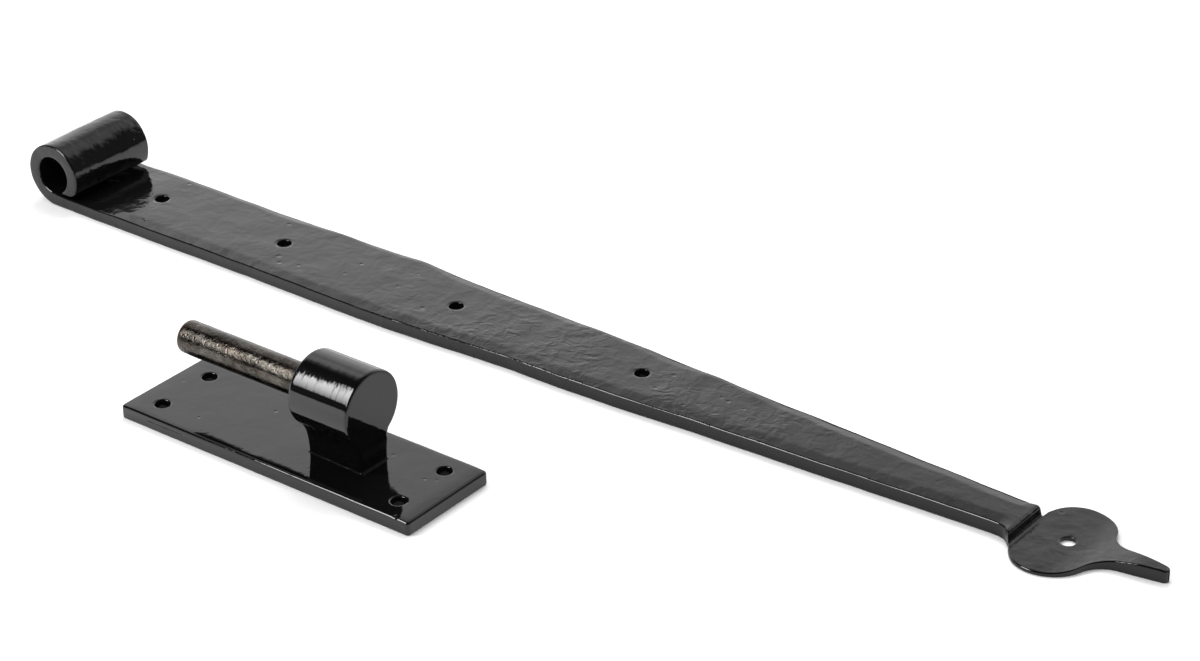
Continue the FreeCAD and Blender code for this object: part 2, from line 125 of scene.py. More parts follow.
def ripple(x: float, y: float, z: float, size: float) -> float:
    """Read a smooth ripple of about -1 to 1 at a place, or at any three numbers, for a wavelength."""
    return noise.noise(Vector((x / size, y / size, z / size)))


@dataclass(frozen=True)
class Waves:
    """Soft waves in the metal: their depth, their length, and the pick and the row that choose them."""

    depth: float
    size: float
    pick: float
    row: float = 0.0

    def at(self, x: float, y: float = 0.0) -> float:
        """How far they stand above or below the flat at a place."""
        return self.depth * ripple(x, y + self.row, self.pick, self.size)

    def below_crest(self, x: float, y: float) -> float:
        """How far they lie below their highest at a place."""
        return self.depth * (0.5 + 0.5 * ripple(x, y + self.row, self.pick, self.size))


# Shader building


class Graph:
    """A thin wrapper for adding linked nodes to a node tree."""

    def __init__(self, tree: bpy.types.NodeTree) -> None:
        """Start on the tree of a material, a world, a group or a modifier."""
        self.tree = tree

    def add(self, kind: str, inputs: dict | None = None, **settings: object) -> bpy.types.Node:
        """Add one node.

        Args:
            kind: The node's type name.
            inputs: Values or sockets for its inputs, by name or number.
            settings: Properties of the node itself.

        Returns:
            The new node.
        """
        node = self.tree.nodes.new(kind)
        for name, value in settings.items():
            setattr(node, name, value)
        for name, value in (inputs or {}).items():
            if isinstance(value, Socket):
                self.tree.links.new(value, node.inputs[name])
            else:
                node.inputs[name].default_value = value
        return node

    def link(self, source: Socket, target: Socket) -> None:
        """Join two sockets."""
        self.tree.links.new(source, target)

    def math(self, operation: str, *values: object) -> Socket:
        """Work out one operation on numbers or sockets, in order."""
        return self.add("ShaderNodeMath", dict(enumerate(values)), operation=operation).outputs[0]

    def product(self, *values: object) -> Socket:
        """Multiply numbers or sockets together, from the left."""
        return reduce(lambda done, value: self.math("MULTIPLY", done, value), values)

    def mix(self, factor: Socket, start: object, end: object, data_type: str) -> Socket:
        """Mix from start to end by a factor, as numbers (FLOAT) or as colours (RGBA)."""
        node = self.add("ShaderNodeMix", {"Factor": factor, "A": start, "B": end}, data_type=data_type)
        return node.outputs["Result"]

    def noise(self, place: Socket, scale: object, **settings: float) -> Socket:
        """Read a noise texture; its settings are the node's own inputs, such as Detail."""
        return self.add("ShaderNodeTexNoise", {"Vector": place, "Scale": scale, **settings}).outputs["Fac"]

    def bump(self, height: Socket) -> Socket:
        """Turn a height in metres into a normal."""
        node = self.add("ShaderNodeBump", {"Height": height, "Strength": 1.0, "Distance": 1.0})
        return node.outputs["Normal"]

    def glow(self, strength: object) -> Socket:
        """Give off white light."""
        return self.add("ShaderNodeEmission", {"Color": WHITE, "Strength": strength}).outputs[0]

    def ramp(self, factor: Socket, stops: Table) -> Socket:
        """Add a grey colour ramp.

        Args:
            factor: The socket that drives it, from 0 to 1.
            stops: Pairs of position and value, values up to 1.

        Returns:
            The ramp's value.
        """
        node = self.add("ShaderNodeValToRGB", {"Fac": factor})
        elements = node.color_ramp.elements
        elements[0].position, elements[1].position = stops[0][0], stops[-1][0]
        for position, _ in stops[1:-1]:
            elements.new(position)
        for element, (_, value) in zip(elements, stops):
            element.color = (value, value, value, 1)
        return node.outputs["Color"]


def shader_group(name: str, sizes: dict[str, float], result: str,
                 ways: tuple[str, ...] = ("Place",)) -> tuple[Graph, dict[str, Socket]]:
    """Start a shader node group that reads a place and some sizes and gives one value.

    Args:
        name: The group's name.
        sizes: Its number inputs with their defaults.
        result: The name of its output.
        ways: Its vector inputs.

    Returns:
        The graph to build in, and its sockets by name, the result's among them.
    """
    tree = bpy.data.node_groups.new(name, "ShaderNodeTree")
    for label in ways:
        tree.interface.new_socket(label, in_out="INPUT", socket_type="NodeSocketVector")
    for label, value in sizes.items():
        socket = tree.interface.new_socket(label, in_out="INPUT", socket_type="NodeSocketFloat")
        socket.default_value = value
    tree.interface.new_socket(result, in_out="OUTPUT", socket_type="NodeSocketFloat")
    graph = Graph(tree)
    entry = graph.add("NodeGroupInput")
    leave = graph.add("NodeGroupOutput")
    sockets = {socket.name: socket for socket in entry.outputs if socket.name}
    sockets[result] = leave.inputs[result]
    return graph, sockets


def forged_waves_group() -> bpy.types.NodeTree:
    """Build the group for soft hammer waves under paint: broad swells with patches of finer wrinkles.

    Returns:
        The group's tree. Its Busy input says how rough the hammering left the face.
    """
    sizes = {"Broad": 80.0, "Fine": 270.0, "Fine Share": 0.5, "Busy": 1.0}
    graph, at = shader_group("forged_waves", sizes, "Height", ("Place", "Grain"))
    broad = graph.noise(at["Place"], at["Broad"], Detail=2.0, Roughness=0.45, Distortion=0.4)
    drawn = graph.add("ShaderNodeVectorMath", {0: at["Place"], 1: at["Grain"]}, operation="MULTIPLY")
    fine = graph.noise(drawn.outputs[0], at["Fine"], Detail=3.0, Distortion=0.8)
    patches = graph.ramp(graph.noise(at["Place"], 28.0, Detail=1.0), ((0.40, 0.3), (0.62, 1.0)))
    share = graph.product(fine, at["Fine Share"], graph.product(patches, at["Busy"]))
    graph.link(graph.math("ADD", broad, share), at["Height"])
    return graph.tree


def scattered_spots_group() -> bpy.types.NodeTree:
    """Build the group for small round spots strewn at random, such as pits and dust nibs.

    Returns:
        The group's tree. Its Share input says how many of the places have a spot.
    """
    smallest, core = 0.4, 0.3
    graph, at = shader_group("scattered_spots", {"Scale": 300.0, "Radius": 0.25, "Share": 0.3}, "Mask")
    cells = graph.add("ShaderNodeTexVoronoi", {"Vector": at["Place"], "Scale": at["Scale"]})
    shade = graph.add("ShaderNodeSeparateColor", {"Color": cells.outputs["Color"]})
    kept = graph.math("LESS_THAN", shade.outputs["Red"], at["Share"])
    reach = graph.product(at["Radius"], graph.math("ADD", shade.outputs["Green"], smallest))
    spot = graph.add("ShaderNodeMapRange", {
        "Value": cells.outputs["Distance"], "From Min": graph.product(reach, core), "From Max": reach,
        "To Min": 1.0, "To Max": 0.0,
    })
    graph.link(graph.product(spot.outputs["Result"], kept), at["Mask"])
    return graph.tree


class Groups:
    """The shader groups that several finishes share, each built once."""

    def __init__(self) -> None:
        """Build both groups."""
        self.waves = forged_waves_group()
        self.spots = scattered_spots_group()


@dataclass(frozen=True)
class GlossPaint:
    """Black gloss paint over iron, with the waves, pits and dust that show through it."""

    name: str
    colour: tuple[float, float, float] = (0.0026, 0.0026, 0.0028)
    pale_gain: float = 1.9
    pale_share: float = 0.6
    cloud_scale: float = 38.0
    roughness: float = 0.07
    roughness_spread: float = 0.05
    broad_scale: float = 80.0
    fine_scale: float = 175.0
    fine_share: float = 1.9
    grain: tuple[float, float, float] = (1.0, 1.0, 1.0)
    wave_depth: float = 0.0004
    pit_scale: float = 220.0
    pit_radius: float = 0.3
    pit_share: float = 0.05
    pit_depth: float = 0.00016
    nib_crowding: float = 2.3
    nib_radius: float = 0.22
    nib_share: float = 0.03

    def material(self, groups: Groups) -> bpy.types.Material:
        """Build the material.

        Args:
            groups: The shared shader groups.

        Returns:
            The new material.
        """
        material, graph, surface = new_material(self.name)
        place = graph.add("ShaderNodeTexCoord").outputs["Object"]
        waves = graph.add("ShaderNodeGroup", {
            "Place": place, "Grain": self.grain, "Broad": self.broad_scale, "Fine": self.fine_scale,
            "Fine Share": self.fine_share,
            "Busy": graph.add("ShaderNodeAttribute", attribute_name=BUSY).outputs["Fac"],
        }, node_tree=groups.waves)
        pits, nibs = (
            graph.add("ShaderNodeGroup", {"Place": place, "Scale": scale, "Radius": radius, "Share": share},
                      node_tree=groups.spots)
            for scale, radius, share in (
                (self.pit_scale, self.pit_radius, self.pit_share),
                (self.nib_crowding * self.pit_scale, self.nib_radius, self.nib_share),
            )
        )
        height = graph.math("SUBTRACT", graph.product(waves.outputs["Height"], self.wave_depth),
                            graph.product(pits.outputs["Mask"], self.pit_depth))
        height = graph.math("ADD", height, graph.product(nibs.outputs["Mask"], 0.5 * self.pit_depth))
        graph.link(graph.bump(height), surface.inputs["Normal"])

        cloud = graph.noise(place, self.cloud_scale, Detail=4.0)
        rough = graph.add("ShaderNodeMapRange", {
            "Value": cloud, "From Min": 0.3, "From Max": 0.75,
            "To Min": self.roughness, "To Max": self.roughness + self.roughness_spread,
        })
        graph.link(rough.outputs["Result"], surface.inputs["Roughness"])
        pale = tuple(self.pale_gain * part for part in self.colour)
        tint = graph.mix(graph.product(cloud, self.pale_share), (*self.colour, 1), (*pale, 1), "RGBA")
        graph.link(tint, surface.inputs["Base Color"])
        return material


@dataclass(frozen=True)
class BareSteel:
    """Bare drawn steel, dull and pitted, with a little rust."""

    name: str
    steel: tuple[float, float, float] = (0.100, 0.095, 0.084)
    dark: tuple[float, float, float] = (0.020, 0.0175, 0.015)
    rust: tuple[float, float, float] = (0.10, 0.046, 0.022)
    roughness: float = 0.07
    roughness_spread: float = 0.16
    rust_dulling: float = 0.75
    grain_share: float = 0.55
    blotch_share: float = 0.6
    grain_depth: float = 0.00019
    pit_depth: float = 0.00007

    def material(self, groups: Groups) -> bpy.types.Material:
        """Build the material.

        Args:
            groups: The shared shader groups.

        Returns:
            The new material.
        """
        material, graph, surface = new_material(self.name)
        place = graph.add("ShaderNodeTexCoord").outputs["Object"]
        drawn = graph.add("ShaderNodeMapping", {"Vector": place, "Scale": (0.5, 1.0, 1.0)}).outputs["Vector"]
        grain = graph.noise(drawn, 900.0, Detail=4.0, Roughness=0.75)
        blotch = graph.noise(place, 130.0, Detail=5.0, Roughness=0.65)
        pits = graph.add("ShaderNodeGroup", {"Place": place, "Scale": 700.0, "Radius": 0.42, "Share": 0.5},
                         node_tree=groups.spots)
        rusty = graph.add("ShaderNodeAttribute", attribute_name=RUST).outputs["Fac"]

        speckle = graph.math("ADD", graph.product(grain, self.grain_share),
                             graph.product(blotch, self.blotch_share))
        worn = graph.ramp(speckle, ((0.46, 0.0), (0.58, 0.4), (0.70, 1.0)))
        tone = graph.mix(worn, (*self.dark, 1), (*self.steel, 1), "RGBA")
        patch = graph.product(rusty, graph.ramp(blotch, ((0.38, 0.15), (0.62, 1.0))))
        graph.link(graph.mix(patch, tone, (*self.rust, 1), "RGBA"), surface.inputs["Base Color"])
        shine = graph.math("SUBTRACT", 1.0, graph.product(patch, self.rust_dulling))
        graph.link(shine, surface.inputs["Metallic"])
        rough = graph.math("ADD", self.roughness, graph.product(grain, self.roughness_spread))
        graph.link(rough, surface.inputs["Roughness"])
        relief = graph.math("SUBTRACT", graph.product(speckle, self.grain_depth),
                            graph.product(pits.outputs["Mask"], self.pit_depth))
        graph.link(graph.bump(relief), surface.inputs["Normal"])
        return material


def new_material(name: str) -> tuple[bpy.types.Material, Graph, bpy.types.Node]:
    """Start a material on the plain surface shader.

    Args:
        name: The material's name.

    Returns:
        The material, its graph and its shader.
    """
    material = bpy.data.materials.new(name)
    material.use_nodes = True
    return material, Graph(material.node_tree), material.node_tree.nodes["Principled BSDF"]


def bare_material(name: str) -> tuple[bpy.types.Material, Graph]:
    """Start a material with an empty tree, for the studio.

    Args:
        name: The material's name.

    Returns:
        The material and its graph.
    """
    material = bpy.data.materials.new(name)
    material.use_nodes = True
    material.node_tree.nodes.clear()
    return material, Graph(material.node_tree)


# Mesh building


def new_object(name: str, points: np.ndarray, faces: list[tuple[int, ...]]) -> bpy.types.Object:
    """Make a mesh object from points in millimetres.

    Args:
        name: The object's name.
        points: One row of x, y, z for each vertex.
        faces: Vertex numbers of each face, anticlockwise seen from outside.

    Returns:
        The new object, at the origin.
    """
    mesh = bpy.data.meshes.new(name)
    mesh.from_pydata((np.asarray(points, float) * MM).tolist(), [], faces)
    obj = bpy.data.objects.new(name, mesh)
    bpy.context.scene.collection.objects.link(obj)
    return obj


def loft(name: str, rings: list[np.ndarray], ladder: int | None = None) -> bpy.types.Object:
    """Join closed rings of points into a closed skin.

    Args:
        name: The object's name.
        rings: Rings of the same number of points.
        ladder: Half the points of a straight side, where a ring starts, to close both ends with one face at
            each straight side and rungs between them, or None for a fan.

    Returns:
        The new object, with its faces pointing outwards.
    """
    count = len(rings[0])
    faces = [
        (i * count + j, i * count + (j + 1) % count, (i + 1) * count + (j + 1) % count, (i + 1) * count + j)
        for i in range(len(rings) - 1) for j in range(count)
    ]
    points = np.concatenate(rings)
    for start, turn in ((0, -1), ((len(rings) - 1) * count, 1)):
        if ladder is None:
            points = np.vstack([points, rings[start // count].mean(axis=0)])
            hub = len(points) - 1
            faces += [(hub, start + j, start + (j + 1) % count)[::turn] for j in range(count)]
        else:
            ends = [(*range(ladder + 1), *range(count - 1 - ladder, count)),
                    tuple(range(count // 2 - 1 - ladder, count // 2 + 1 + ladder))]
            rungs = [(j, j + 1, count - 2 - j, count - 1 - j) for j in range(ladder, count // 2 - 1 - ladder)]
            faces += [tuple(start + j for j in face)[::turn] for face in ends + rungs]
    obj = new_object(name, points, faces)
    face_outwards(obj)
    return obj


def face_outwards(obj: bpy.types.Object) -> None:
    """Turn every face of a closed object outwards.

    Args:
        obj: The object, whose mesh is changed.
    """
    mesh = bmesh.new()
    mesh.from_mesh(obj.data)
    bmesh.ops.recalc_face_normals(mesh, faces=mesh.faces)
    if mesh.calc_volume(signed=True) < 0:
        bmesh.ops.reverse_faces(mesh, faces=mesh.faces)
    mesh.to_mesh(obj.data)
    mesh.free()


def bake(obj: bpy.types.Object) -> None:
    """Turn an object's modifiers into its mesh and remove them.

    Args:
        obj: The object, which gets a new mesh.
    """
    graph = bpy.context.evaluated_depsgraph_get()
    mesh = bpy.data.meshes.new_from_object(obj.evaluated_get(graph))
    obj.modifiers.clear()
    obj.data = mesh


def combine(obj: bpy.types.Object, other: bpy.types.Object, work: Work) -> None:
    """Cut another object out of this one, or join it on, and delete the other.

    Args:
        obj: The object that stays.
        other: The tool.
        work: Whether the tool cuts or joins on.
    """
    modifier = obj.modifiers.new("tool", "BOOLEAN")
    modifier.operation = work.value
    modifier.solver = "EXACT"
    modifier.object = other
    bake(obj)
    bpy.data.objects.remove(other)


def turned(name: str, profile: list[Point], axis: tuple[float, float, float], along: Axis,
           segments: int) -> bpy.types.Object:
    """Turn a profile about an axis into a closed piece.

    Args:
        name: The object's name.
        profile: Pairs of place along the axis and radius; the ends are closed.
        axis: A point on the axis.
        along: The way that the axis runs.
        segments: Points round the axis.

    Returns:
        The new object.
    """
    rings = []
    angles = np.linspace(0, math.tau, segments, endpoint=False)
    for place, radius in profile:
        a, b = radius * np.cos(angles), radius * np.sin(angles)
        flat = np.full(segments, place)
        ring = (flat, a, b) if along is Axis.X else (a, b, flat)
        rings.append(np.stack(ring, axis=1) + np.array(axis))
    return loft(name, rings)


def hole_tree() -> bpy.types.NodeTree:
    """Build the geometry tree that puts a drill with flared ends at every point of a mesh.

    A drill is a cylinder whose wall swells in nearly a quarter circle near both faces of the metal, and runs
    on as a shallow cone, so that it meets an uneven face at a soft angle and leaves a thin light rim.

    Returns:
        The tree, with the drill's sizes and finish as its inputs.
    """
    segments, overshoot = 56, 0.001
    crowding, quarter_share, cone_slope = 1.6, 0.975, 4.4
    tree = bpy.data.node_groups.new("screw_holes", "GeometryNodeTree")
    tree.interface.new_socket("Geometry", in_out="INPUT", socket_type="NodeSocketGeometry")
    for label, value in (("Bore Radius", 0.0035), ("Rim Radius", 0.0006), ("Thickness", 0.006)):
        socket = tree.interface.new_socket(label, in_out="INPUT", socket_type="NodeSocketFloat")
        socket.default_value = value
    tree.interface.new_socket("Material", in_out="INPUT", socket_type="NodeSocketMaterial")
    tree.interface.new_socket("Geometry", in_out="OUTPUT", socket_type="NodeSocketGeometry")
    graph = Graph(tree)
    entry = graph.add("NodeGroupInput").outputs
    leave = graph.add("NodeGroupOutput")

    depth = graph.math("ADD", entry["Thickness"], 2 * overshoot)
    drill = graph.add("GeometryNodeMeshCylinder", {
        "Vertices": segments, "Side Segments": segments, "Radius": 1.0, "Depth": depth,
    })
    place = graph.add("GeometryNodeInputPosition").outputs["Position"]
    parts = graph.add("ShaderNodeSeparateXYZ", {"Vector": place}).outputs

    # The level counts 0 at the drill's middle, 1 where the wall starts to swell and 2 at the drill's end
    start = graph.math("SUBTRACT", graph.product(entry["Thickness"], 0.5), entry["Rim Radius"])
    level = graph.product(graph.math("DIVIDE", graph.math("ABSOLUTE", parts["Z"]), depth), 4.0)
    inner = graph.product(graph.math("MINIMUM", level, 1.0), start)
    outer = graph.math("POWER", graph.math("MAXIMUM", graph.math("SUBTRACT", level, 1.0), 0.0), crowding)
    past = graph.product(outer, graph.math("ADD", entry["Rim Radius"], overshoot))
    height = graph.product(graph.math("SIGN", parts["Z"]), graph.math("ADD", inner, past))

    # The swell follows a quarter circle up to a share of it, and the cone after that
    reach = graph.math("DIVIDE", past, entry["Rim Radius"])
    share = graph.math("MINIMUM", reach, quarter_share)
    fall = graph.math("SQRT", graph.math("SUBTRACT", 1.0, graph.product(share, share)))
    runout = graph.product(graph.math("SUBTRACT", reach, share), cone_slope)
    swell = graph.math("ADD", graph.math("SUBTRACT", 1.0, fall), runout)
    radius = graph.math("ADD", entry["Bore Radius"], graph.product(entry["Rim Radius"], swell))
    flared = graph.add("ShaderNodeCombineXYZ", {
        "X": graph.product(parts["X"], radius), "Y": graph.product(parts["Y"], radius), "Z": height,
    })
    shaped = graph.add("GeometryNodeSetPosition", {
        "Geometry": drill.outputs["Mesh"], "Position": flared.outputs[0],
    })
    spread = graph.add("GeometryNodeInstanceOnPoints", {
        "Points": entry["Geometry"], "Instance": shaped.outputs[0],
    })
    solid = graph.add("GeometryNodeRealizeInstances", {"Geometry": spread.outputs[0]})
    dressed = graph.add("GeometryNodeSetMaterial", {
        "Geometry": solid.outputs[0], "Material": entry["Material"],
    })
    graph.link(dressed.outputs[0], leave.inputs["Geometry"])
    return tree


def drill_holes(obj: bpy.types.Object, tree: bpy.types.NodeTree, centres: list[tuple[float, float, float]],
                radius: float, rim: float, thickness: float) -> None:
    """Drill screw holes with softened rims through a piece, along Z.

    Args:
        obj: The piece.
        tree: The tree that makes the drills.
        centres: The middle of each hole, halfway through the metal, in millimetres.
        radius: The hole's radius.
        rim: The radius that softens both mouths.
        thickness: The metal's thickness there.
    """
    drills = new_object(obj.name + "_drills", np.array(centres), [])
    modifier = drills.modifiers.new("screw_holes", "NODES")
    modifier.node_group = tree
    sockets = {item.name: item.identifier for item in tree.interface.items_tree if item.in_out == "INPUT"}
    modifier[sockets["Bore Radius"]] = radius * MM
    modifier[sockets["Rim Radius"]] = rim * MM
    modifier[sockets["Thickness"]] = thickness * MM
    modifier[sockets["Material"]] = obj.data.materials[0]
    bake(drills)
    combine(obj, drills, Work.CUT)


def keep_inside(obj: bpy.types.Object, node: Node) -> None:
    """Hold every vertex inside the box of the CAD node that a piece stands for.

    Args:
        obj: The piece.
        node: The CAD node.
    """
    low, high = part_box(node.value)
    places = np.empty(len(obj.data.vertices) * 3)
    obj.data.vertices.foreach_get("co", places)
    places = np.clip(places.reshape(-1, 3), np.array(low), np.array(high))
    obj.data.vertices.foreach_set("co", places.ravel())
    obj.data.update()


def mark(obj: bpy.types.Object, name: str, value: Callable[[float, float, float], float]) -> None:
    """Write a number on every vertex, for the finish to read.

    Args:
        obj: The piece.
        name: The attribute's name.
        value: Gives the number at x, y and z in millimetres.
    """
    store = obj.data.attributes.new(name, "FLOAT", "POINT")
    store.data.foreach_set("value", [float(value(*(vertex.co / MM))) for vertex in obj.data.vertices])


def hand_over(obj: bpy.types.Object, node: Node, slot: Slot, crease: float) -> None:
    """Finish a piece: soft shading, its place on the body, and what it stands for.

    Args:
        obj: The piece.
        node: The CAD node that it replaces.
        slot: The record's slot that its finish comes from; not used.
        crease: The angle in degrees past which an edge stays sharp.
    """
    keep_inside(obj, node)
    obj.data.shade_smooth()
    obj.data.set_sharp_from_angle(angle=math.radians(crease))
    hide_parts(node.value)
    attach(obj, "root")
    LOG.info("%s: %d faces", obj.name, len(obj.data.polygons))


# The angles of the points on a rounded edge, the heights of the points on a side as shares of its straight
# part, how far in a crease draws each of them, and the point that the ring starts at
EDGE_ANGLES = np.radians([15, 30, 45, 60, 75])
SIDE_LEVELS = np.array([0.0, 0.3, 0.56, 0.62, 0.66, 0.70, 0.76, 1.0])
SIDE_CREASE = np.array([0.0, 0.0, 0.0, 0.25, 1.0, 0.25, 0.0, 0.0])
SIDE_SPLIT = 4
MOST_ROUND = 0.48

# Points across a face, and how much closer together they are near its edges
ACROSS = 40
EDGE_CROWDING = 0.09


def section_ring(under: np.ndarray, over: np.ndarray, near: float, far: float, top_radius: float,
                 low_radius: float, lift: Callable[[float], float], crease: float = 0.0,
                 crisp: float = 0.0) -> np.ndarray:
    """Draw one cross-section of the bar as a rounded rectangle.

    Args:
        under: The x and z of the bar's outer or lower face.
        over: The x and z of its inner or upper face.
        near: How far it reaches to the near side.
        far: How far it reaches to the far side.
        top_radius: The radius of the two upper edges.
        low_radius: The radius of the two lower edges.
        lift: Gives how far the upper face stands up at a place across.
        crease: How deep a fine crease runs along both sides.
        crisp: 1 where the near upper edge ends in a crisp corner, 0 where it is round.

    Returns:
        The ring, with as many points on the lower face as on the upper, ends matched for rungs.
    """
    thickness = math.dist(under, over)
    top = min(top_radius, MOST_ROUND * thickness)
    low = min(low_radius, MOST_ROUND * thickness)
    levels = low + (thickness - top - low) * SIDE_LEVELS
    inward = SIDE_CREASE * crease
    lower = [(u, 0.0) for u in across(near - low, far - low)]
    far_low = [(far - low + low * math.sin(a), low - low * math.cos(a)) for a in EDGE_ANGLES]
    far_side = [(far - i, v) for v, i in zip(levels, inward)]
    far_top = [(far - top + top * math.cos(a), thickness - top + top * math.sin(a)) for a in EDGE_ANGLES]
    upper = [(u, thickness + lift(u)) for u in across(near - top, far - top)[::-1]]
    near_top = [(-near + top - top * math.sin(a), thickness - top + top * math.cos(a)) for a in EDGE_ANGLES]
    near_top = crisp_edge(near_top, near, crisp)
    near_side = [(i - near, v) for v, i in zip(levels[::-1], inward[::-1])]
    near_low = [(-near + low - low * math.cos(a), low - low * math.sin(a)) for a in EDGE_ANGLES]
    drop_far, drop_near = lift(far - top), lift(top - near)
    far_top = [(u, v + drop_far * (v - low) / (thickness - low)) for u, v in far_top]
    near_top = [(u, v + drop_near * (v - low) / (thickness - low)) for u, v in near_top]
    loop = np.array([
        *near_side[SIDE_SPLIT:], *near_low, *lower, *far_low, *far_side, *far_top, *upper, *near_top,
        *near_side[:SIDE_SPLIT],
    ])
    way = (over - under) / thickness
    return np.stack([under[0] + loop[:, 1] * way[0], loop[:, 0], under[1] + loop[:, 1] * way[1]], axis=1)


def crisp_edge(points: list[Point], near: float, crisp: float) -> list[Point]:
    """Draw the near upper edge from round towards a crisp corner under a bevel.

    Args:
        points: The five points of the round edge, from the upper face down to the side.
        near: How far the bar reaches to the near side.
        crisp: 1 for the crisp corner, 0 for the round edge as it is.

    Returns:
        The five points.
    """
    bevel, step, run = math.tan(EDGE_ANGLES[1]), 0.06, 0.25
    corner = points[1][1] - (points[1][0] + near) * bevel
    sharp = [(step - near, corner + step * bevel), (-near, corner - step), (-near, corner - run)]
    pairs = zip(points[2:], sharp)
    return points[:2] + [tuple((1 - crisp) * a + crisp * b for a, b in zip(*pair)) for pair in pairs]


def across(near: float, far: float) -> np.ndarray:
    """Spread places over the bar's width, closer together near both edges."""
    share = np.linspace(0, 1, ACROSS)
    return -near + (far + near) * (share - EDGE_CROWDING * np.sin(math.tau * share))


@dataclass(frozen=True)
class Margin:
    """A hammered margin of the strap, where the upper face falls away towards the edge.

    Waves along the band make its width and its slope stray.
    """

    width: float
    width_waves: Waves
    slope: float
    slope_waves: Waves
    growth: float = 0.0
    widest: float = math.inf

    # Where along the band the width grows and over what spread, and the soft start where a margin begins
    GROWTH_MIDDLE = 250.0
    GROWTH_SPREAD = 60.0
    SOFT_START = 0.35

    def fall(self, x: float, gap: float) -> float:
        """Find how far the margin falls below the flat of the strap.

        Args:
            x: Place along the band.
            gap: Distance in from the edge.

        Returns:
            The fall.
        """
        width = self.width + self.growth * math.tanh((x - self.GROWTH_MIDDLE) / self.GROWTH_SPREAD)
        width = min(width + self.width_waves.at(x), self.widest)
        slope = self.slope + self.slope_waves.at(x)
        inward = max(0.0, width - gap)
        return slope * inward * inward / (inward + self.SOFT_START)


